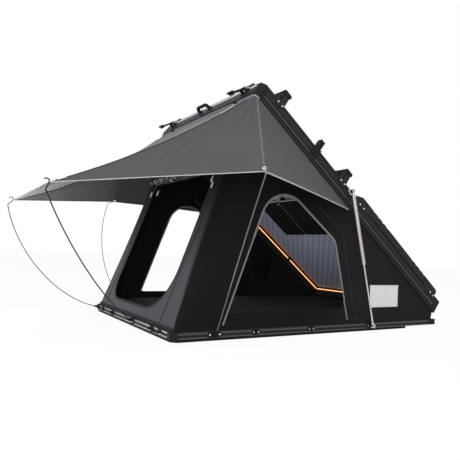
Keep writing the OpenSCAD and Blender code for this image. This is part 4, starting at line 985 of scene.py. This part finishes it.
CLOTH["quilt_cloth"] = quilted("quilt_cloth", 0.76, (0.86, 0.93, 1.20))
liner, rows = Form(), []
for x in np.linspace(*LINER_X, 190):
    rows.append([opened(x, y, quilt(x, y)) for y in np.linspace(-LINER_Y, LINER_Y, 150)])
liner.cloth(rows, 0.001)
liner.cloth([[opened(x, y, BACK_Z - 0.001) for y in (LINER_Y, -LINER_Y)] for x in LINER_X], 0.001)
made = liner.piece("quilted_liner", "roof", "liner_quilt", "quilt_cloth")
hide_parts("roof_liner")
print("diamonds:", round((LINER_X[1] - LINER_X[0]) / DIAMOND[0]), "along")

# %% [markdown]
# ## Ceiling organiser
# Two soft pouches hang side by side under the liner, open towards the rear. Each has a flat floor, a
# pale bound mouth, rounded sides and a closed front, so a row of points is the same soft arch from
# side to side, and only the last rows run up to the liner. Two small buckles sit at the front, and a
# pale pull hangs at the mouth.

# %% Ceiling organiser
POUCH_TOP, DROP, POUCH_REAR, POUCH_LONG = 0.1315, 0.064, -0.205, 0.409


def under_lid(u, y, z):
    return opened(POUCH_REAR + POUCH_LONG * u, y, z)


pouches = Form()
for side in (-1, 1):
    rows = []
    for u in np.concatenate([np.linspace(0, 0.9, 22), np.linspace(0.92, 1, 9)]):
        shut = 1 - max(0.0, (u - 0.9) / 0.1) ** 9
        row = []
        for v in (1 - np.cos(np.linspace(0, math.pi, 41))) / 2:
            y = side * (0.003 + 0.282 * v)
            hang = (1 - abs(2 * v - 1) ** 26) * shut
            soft = 0.0022 * hang * rumple(u * 5, v * 4, 60 + side)
            row.append(under_lid(u, y, POUCH_TOP - 0.0015 - DROP * hang - soft))
        rows.append(row if side > 0 else row[::-1])
    pouches.cloth(rows, 0.0014)
    pouches.tube(rows[0], 0.0042, 6, finish=1)
pouch_low = POUCH_TOP - DROP
pouches.tube([under_lid(u, 0, POUCH_TOP - 0.003) for u in np.linspace(0, 0.98, 12)], 0.003, 6)
pouches.tube([under_lid(u, 0.003, pouch_low + 0.001) for u in np.linspace(0.02, 0.9, 12)], 0.0021, 6,
             finish=4)
pouches.tube([opened(-0.180, 0.010, pouch_low - t) for t in (0.0, 0.002, 0.012, 0.014)],
             [0.002, 0.005, 0.005, 0.002], 8, finish=3)
for y in (-0.15, 0.15):
    pouches.tube([opened(0.194 + t, y, pouch_low + 0.006) for t in (-0.012, -0.010, 0.0, 0.006, 0.008)],
                 [0.002, 0.006, 0.007, 0.006, 0.002], 8, False, LID_UP, 0.4, 2)
made = pouches.piece("ceiling_pouches", "roof", "canvas_black", "wall_canvas", "hem_binding",
                     "moulded_black", "white_thread", "edge_binding")
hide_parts("ceiling_organiser")
opened(0, 0, POUCH_TOP)
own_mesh(made)
print("pouches:", POUCH_LONG, "m long")

# %% [markdown]
# ## Awning
# One large sheet runs round the rear of the lid and is propped by four spring rods. It is cut from a
# rear panel, two corner gores and two side triangles. Between ribs the free hem curves inwards
# and the cloth sags under its weight. The gores are laid in narrow fans.

# %% Awning panels
ROOT_Z, AWNING_THICK = 0.0596, 0.0016
HEM_CURVE, WING_SAG, SAG = 0.016, 0.008, 0.014
RIDGE_SAG = {-1: 0.048, 1: 0.076}


def awning_panel(heads, tips, sags, slack, curve=HEM_CURVE, crease=0.060, tight=0.0, late=1):
    """A function of (t, s): t from rib to rib, s from the lid out to the hem.

    A tight panel hangs less between its ribs, and late keeps the first rib's sag for longer.
    """

    def at(t, s):
        bow = 4 * t * (1 - t)
        head, tip = blend(*heads, t), blend(*tips, t)
        inward = (head - tip).normalized() if (head - tip).length > 1e-6 else Vector()
        tip = tip + inward * (curve * bow * slack)
        ribs = blend(*sags, t ** late) * (1 - tight * math.sqrt(max(0.0, bow)))
        hang = ribs + SAG * slack * bow * (1 - tight)
        drop = hang * 4 * s * (1 - s)
        fan = noise.noise(Vector((t * 7, s * 0.6, slack * 9)))
        fan += 0.5 * noise.noise(Vector((t * 15, s, 3.0)))
        fold = crease * min(1.0, 3 * bow) * s ** 0.7 * (1 - s) ** 1.4 * fan
        return blend(head, tip, s) + Vector((0, 0, fold - drop - 0.0015))

    return at


def awning_points(side):
    return {"front": opened(-0.066, side * 0.691, ROOT_Z), "side": opened(-1.084, side * 0.691, ROOT_Z),
            "rear": opened(-1.092, side * 0.680, ROOT_Z), "wing": Vector((-0.865, side * 1.166, 0.905)),
            "tip": Vector((-1.752, -0.597, 0.810) if side < 0 else (-1.762, 0.586, 0.799))}


def gore_panel(side):
    """The corner gore of one side, from its wing rib to its ridge."""
    spot = awning_points(side)
    return awning_panel((spot["side"], spot["rear"]), (spot["wing"], spot["tip"]),
                        (WING_SAG, RIDGE_SAG[side]), 0.8, 0.0)


def awning_sheet(form, at, t_range, flip, columns, hem=0.0048):
    rows = [[at(t, s) for s in np.linspace(0, 1, 26)] for t in np.linspace(*t_range, columns)]
    form.cloth(rows[::-1] if flip else rows, AWNING_THICK, front=0, back=1)
    form.tube([row[-1] for row in rows], hem, 8, False, (0, 0, 1), 0.5, 2)


print("ridges sag by", list(RIDGE_SAG.values()), "m")

# %% [markdown]
# ### Rear panel
# The rear panel is a trapezium between the lid and the two rear rods. It sags between the ridges, more
# at the far one. A pale tie crosses its near corner.

# %% Awning rear panel
near, far = awning_points(-1), awning_points(1)
rear_at = awning_panel((near["rear"], far["rear"]), (near["tip"], far["tip"]),
                       (RIDGE_SAG[-1], RIDGE_SAG[1]), 1.0, crease=0.020, tight=0.3, late=4)
rear_panel = Form()
awning_sheet(rear_panel, rear_at, (0, 1), True, 70)
# The rear panel takes the paler copies of the awning cloth, as painted light.
made = rear_panel.piece("awning_rear_panel", "roof", "awning_cloth", "awning_rear_top_painted_light",
                        "awning_rear_under_painted_light", "awning_rear_under_painted_light")
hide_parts("awning")
middle_head, middle_tip = blend(near["rear"], far["rear"], 0.5), blend(near["tip"], far["tip"], 0.5)
rear_fall = (middle_tip - middle_head).normalized()
root_wide, hem_wide = ((far[k] - near[k]).length for k in ("rear", "tip"))
tall = (middle_tip - middle_head).length
fold_axis = rear_fall + Vector((-rear_fall.z, 0, rear_fall.x)) * 0.0214
fold_at = middle_head - rear_fall * 0.040
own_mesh(made)
tie = Form()
tie.tube([rear_at(t, s) + Vector((0, 0, 0.005)) for t, s in
          ((0.165, 0.006), (0.135, 0.03), (0.100, 0.06), (0.070, 0.09), (0.045, 0.12), (0.014, 0.19))],
         0.0050, 8, False, (0, 0, 1), 0.3)
made = tie.piece("awning_root_tie", "roof", "awning_cloth", "hem_binding")
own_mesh(made)
print("rear panel falls", round(tall, 3), "m")

# %% [markdown]
# ### Sides and gores
# A gore spans two ribs of unlike length, so it is cut into narrow strips.

# %% Awning sides and gores
STRIPS = 14
HEM = {-1: "hem_binding", 1: "door_tape"}
corner_in = {}
for side, mark in SIDES:
    spot = awning_points(side)
    edge = (spot["side"] - spot["front"]).normalized()
    reach = spot["wing"] - spot["front"]
    fall = (reach - edge * reach.dot(edge)).normalized()
    side_at = awning_panel((spot["front"], spot["side"]), (spot["front"], spot["wing"]),
                           (0, WING_SAG), 0.5)
    side_panel = Form()
    awning_sheet(side_panel, side_at, (0.03, 1), side < 0, 50, 0.0068)
    made = side_panel.piece("awning_side_" + mark, "roof", "awning_cloth", "awning_top", "awning_under",
                            HEM[side])
    spot["front"] - fall * 0.030
    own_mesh(made)

    gore_at = gore_panel(side)
    hold = blend(spot["side"], spot["rear"], 0.5) + LID_UP * 0.042 + LID_ALONG * 0.02
    hold.y -= side * 0.02
    corner_in[side] = hold
    for k in range(STRIPS):
        span = (k / STRIPS, (k + 1) / STRIPS)
        gore = Form()
        awning_sheet(gore, gore_at, span, side < 0, 7)
        made = gore.piece(f"awning_gore_{mark}_{k + 1:02d}", "roof", "awning_cloth", "awning_top",
                          "awning_gore_under_painted_light", HEM[side])
        tips = [gore_at(t, 1) for t in span]
        heads = [gore_at(t, 0) for t in span]
        tall = (blend(*tips, 0.5) - blend(*heads, 0.5)).length
        cut = (tips[1] - heads[0]).cross(tips[0] - heads[1]).length / 2
        blend(*tips, 0.5) - hold
        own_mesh(made)
print("gores:", 2 * STRIPS)

# %% [markdown]
# ## Awning stitching and eyelets
# A zigzag of pale thread reinforces the seam from each lid corner out to the wing tip, and a dark
# tape covers the ridge to the rear tip. Every rod pushes into a pressed eyelet near its tip; below the
# far wing's eyelet, a white stud is a painted highlight of the eyelet.

# %% Awning stitching and eyelets
EYELET_IN, EYELET_RADIUS, ZIGZAG = 0.026, 0.0095, 0.008


def eyelet(form, centre, up):
    up = up.normalized()
    side = up.orthogonal().normalized()
    other = up.cross(side)
    for lift in (-0.0012, 0.0012):
        form.tube(hoop(centre + up * lift, side, other, EYELET_RADIUS, 24), 0.0032, 8, True)


for side, mark in SIDES:
    gore_at = gore_panel(side)
    for label, seam, base in (("wing", 0.0, "side"), ("tip", 1.0, "rear")):
        thread = Form()
        run = [gore_at(seam, s) + Vector((0, 0, 0.0026)) for s in np.linspace(0.05, 0.93, 27)]
        sway = (run[-1] - run[0]).cross(Vector((0, 0, 1))).normalized()
        if label == "wing":
            zig = [p + sway * (ZIGZAG if k % 2 else -ZIGZAG) for k, p in enumerate(run)]
            for a, b in zip(zig[:-1], zig[1:]):
                thread.tube([blend(a, b, 0.22), blend(a, b, 0.78)], 0.0019, 5)
            for shift in (-0.022, 0.022) if mark == "far" else ():
                thread.tube([p + sway * shift - Vector((0, 0, 0.0062)) for p in run], 0.010, 8, False,
                            (0, 0, 1), 0.15, 1)
        else:
            wide, low = (0.0042, 0.001) if mark == "near" else (0.0080, 0.003)
            thread.tube([p - Vector((0, 0, low)) for p in run], wide, 8, False, (0, 0, 1), 0.5, 1)
        made = thread.piece(f"awning_{label}_stitch_{mark}", "roof", "awning_cloth", "seam_thread",
                            "door_tape")
        away = run[-1] - corner_in[side]
        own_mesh(made)

        rim = Form()
        tip, head = gore_at(seam, 1), gore_at(seam, 0)
        hole = tip + (head - tip).normalized() * EYELET_IN
        eyelet(rim, hole, (head - tip).cross(sway))
        # The white stud below the far wing's eyelet is a painted highlight of the eyelet.
        if (label, mark) == ("wing", "far"):
            below = hole - Vector((0, 0, 0.006))
            rim.tube([below - Vector((0, 0, t)) for t in (0.0, 0.001, 0.009, 0.011)],
                     [0.008, 0.0155, 0.0155, 0.008], 12, finish=1)
        made = rim.piece(f"awning_{label}_eyelet_{mark}", "roof", "steel_bright", "steel_bright",
                         "pale_patch")
        if (label, mark) == ("wing", "near"):
            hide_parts("awning_grommets")
        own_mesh(made)
print("seams and eyelets on", len(corner_in), "corners")

# %% [markdown]
# ## Awning rods
# The rods are spring steel in a black sleeve; the side rods' sleeves are made paler as painted reflection.
# Their bend is one smooth curve from the socket to the eyelet, so each is skinned along a fine Bezier
# curve with a hooked end and a moulded foot.

# %% Awning rods
RODS = {
    "rear_rod_near": ((-1.124, -0.102, 0.048), (-1.330, -0.210, 0.176), (-1.630, -0.460, 0.516),
                      (-1.767, -0.589, 0.772), (-1.754, -0.598, 0.806)),
    "rear_rod_far": ((-1.124, 0.655, 0.040), (-1.400, 0.660, 0.096), (-1.720, 0.620, 0.416),
                     (-1.793, 0.605, 0.764), (-1.764, 0.587, 0.796)),
    "side_rod_near": ((-0.839, -0.724, 0.048), (-0.845, -0.870, 0.330), (-0.855, -1.020, 0.620),
                      (-0.869, -1.178, 0.883), (-0.865, -1.178, 0.903)),
    "side_rod_far": ((-0.839, 0.724, 0.042), (-0.930, 1.000, 0.116), (-1.000, 1.250, 0.516),
                     (-0.905, 1.200, 0.885), (-0.865, 1.178, 0.903)),
}
HOOK_MM = ((0, 0), (0, 7), (0.5, 12), (3, 16.5), (8, 19.5), (14, 20), (20, 18.5), (26, 15))
for name, points in RODS.items():
    a, b, c, d, tip = (Vector(p) for p in points)
    curve = [a * (1 - t) ** 3 + b * (3 * t * (1 - t) ** 2) + c * (3 * t * t * (1 - t)) + d * t ** 3
             for t in np.linspace(0, 1, 60)]
    foot = a - (b - a).normalized() * 0.016
    rod = Form()
    out = Vector((-1, 0, 0)) if "rear" in name else Vector((0, -1 if "near" in name else 1, 0))
    hook = [tip + out * 0.001 * x + Vector((0, 0, 0.001 * z)) for x, z in HOOK_MM]
    path = [foot] + curve + [blend(d, tip, 0.5)] + hook
    thick = {"rear_rod_near": 0.0037, "side_rod_near": 0.0031}.get(name, 0.0029)
    rod.tube(path, [thick] * (len(path) - 1) + [0.0018], 12)
    root = (b - a).normalized()
    rod.tube([a + root * t for t in (0.0, 0.003, 0.012, 0.016)], [0.0045, 0.0056, 0.0052, 0.0036], 12,
             finish=1)
    # The side rods' sleeves take the paler copy of the black finish, as painted reflection.
    made = rod.piece(name + "_sleeved", name, "rod_black", "rod_black" if "rear" in name else "rod_grey",
                     "moulded_black")
    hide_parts(name)
print("rods:", len(RODS))

# %% [markdown]
# ## Trim on the lid
# A soft lilac-grey piping is pressed into the rail along the awning's root, held by two tabs. A pale strip
# along the lid's rear top edge is a painted highlight of the rail's chamfer, with a thin dark seal along
# its top, and the latches turn on pins with bright heads. All are small, but they draw clear lines and
# points between the black rail, the cloth and the sky.

# %% Lid trim
piping = Form()
bend = [(-1.062, 0.7008), (-1.080, 0.6985), (-1.0925, 0.690)]
run = [(x, -y) for x, y in bend] + [(-1.0985, y) for y in np.linspace(-0.676, 0.676, 60)] + bend[::-1]
piping.tube([opened(x, y, 0.0505) for x, y in run], 0.0062, 8, False, LID_UP)
made = piping.piece("awning_root_piping", "roof", "awning_cloth", "piping")
opened(0, 0, 0.0600)
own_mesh(made)

# A pale strip on the lid's rear top edge is a painted highlight of the rail's top chamfer, with a thin
# dark seal along its top.
strip = Form()
strip_run = np.linspace(-0.640, 0.640, 40)
strip.tube([opened(-1.1112, y, 0.1440) for y in strip_run], 0.0110, 12, False, LID_ALONG, 0.16)
strip.tube([opened(-1.1118, y, 0.1580) for y in strip_run], 0.0021, 8, finish=1)
strip.piece("rear_painted_highlight_strip", "roof", "channel_silver", "edge_trim", "seal_rubber")

tabs = Form()
for y in (-0.474, 0.464):
    tabs.tube([opened(-1.0995, y + t, 0.0500) for t in (-0.026, -0.022, 0.022, 0.026)],
              [0.004, 0.0095, 0.0095, 0.004], 8, False, LID_UP, 0.8)
made = tabs.piece("awning_root_tabs", "roof", "moulded_black", "moulded_black")
opened(0, 0, 0.0600)
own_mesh(made)

heads = Form()
for y in (-0.568, -0.502, 0.502, 0.568):
    heads.tube([opened(-1.136, y + t, 0.120) for t in (-0.0022, -0.0018, 0.0018, 0.0022)],
               [0.003, 0.0046, 0.0046, 0.003], 10)
heads.piece("latch_pin_heads", "roof", "steel_bright", "steel_bright")
print("trim: piping, painted highlight strip, tabs and pin heads")

# %% [markdown]
# ## Rail lips and fittings
# The extruded rails have lips beside their slots. Pale bands on these lips are painted highlights,
# brightest at the rear, where the light falls, and dark bands in the roof rails' slots are painted shade.
# Small steel heads show on the fittings of the rear rail.

# %% Rail lips and fittings
FLAT = 0.22
lips = Form()
# Pale bands along the rails' lips are painted highlights, brighter on the rear rail.
for z, half in ((0.0445, 0.0046), (0.0205, 0.0040)):
    lips.tube([(-1.1003, y, z) for y in np.linspace(-0.636, 0.636, 30)], half, 8, False, (1, 0, 0), FLAT)
    for side in (-1, 1):
        lips.tube([(x, side * 0.7003, z) for x in np.linspace(-1.066, 1.036, 40)], half, 8, False,
                  (0, 1, 0), FLAT, 1)
for y, z in ((-0.551, 0.0266), (-0.400, 0.0268), (-0.0996, 0.0308), (0.306, 0.0345)):
    lips.tube([(-1.1045, y + t, z) for t in (-0.012, -0.010, 0.010, 0.012)],
              [0.002, 0.004, 0.004, 0.002], 8, finish=2)
lips.piece("base_rail_painted_highlights_and_heads", "base", "rail_black", "rail_lip_rear", "rail_lip_side", "steel_bright")

# Two dark bands in each roof rail's slots are painted shade, with a band of painted highlight between
# them.
PAINTED_SHADE_AND_HIGHLIGHT = ((0.082, 0.0032, 0.3, 0), (0.105, 0.0032, 0.3, 0), (0.0935, 0.0045, FLAT, 1))
painted_shade_and_highlight = Form()
for side in (-1, 1):
    for z, half, thin, finish in PAINTED_SHADE_AND_HIGHLIGHT:
        painted_shade_and_highlight.tube([opened(x, side * 0.7002, z) for x in np.linspace(-1.045, 1.036, 40)], half, 8, False,
                   (0, 1, 0), thin, finish)
painted_shade_and_highlight.piece("roof_rail_painted_shade_and_highlight", "roof", "seal_rubber", "seal_rubber", "rail_lip_side")
print("lips and seals on 5 rails")
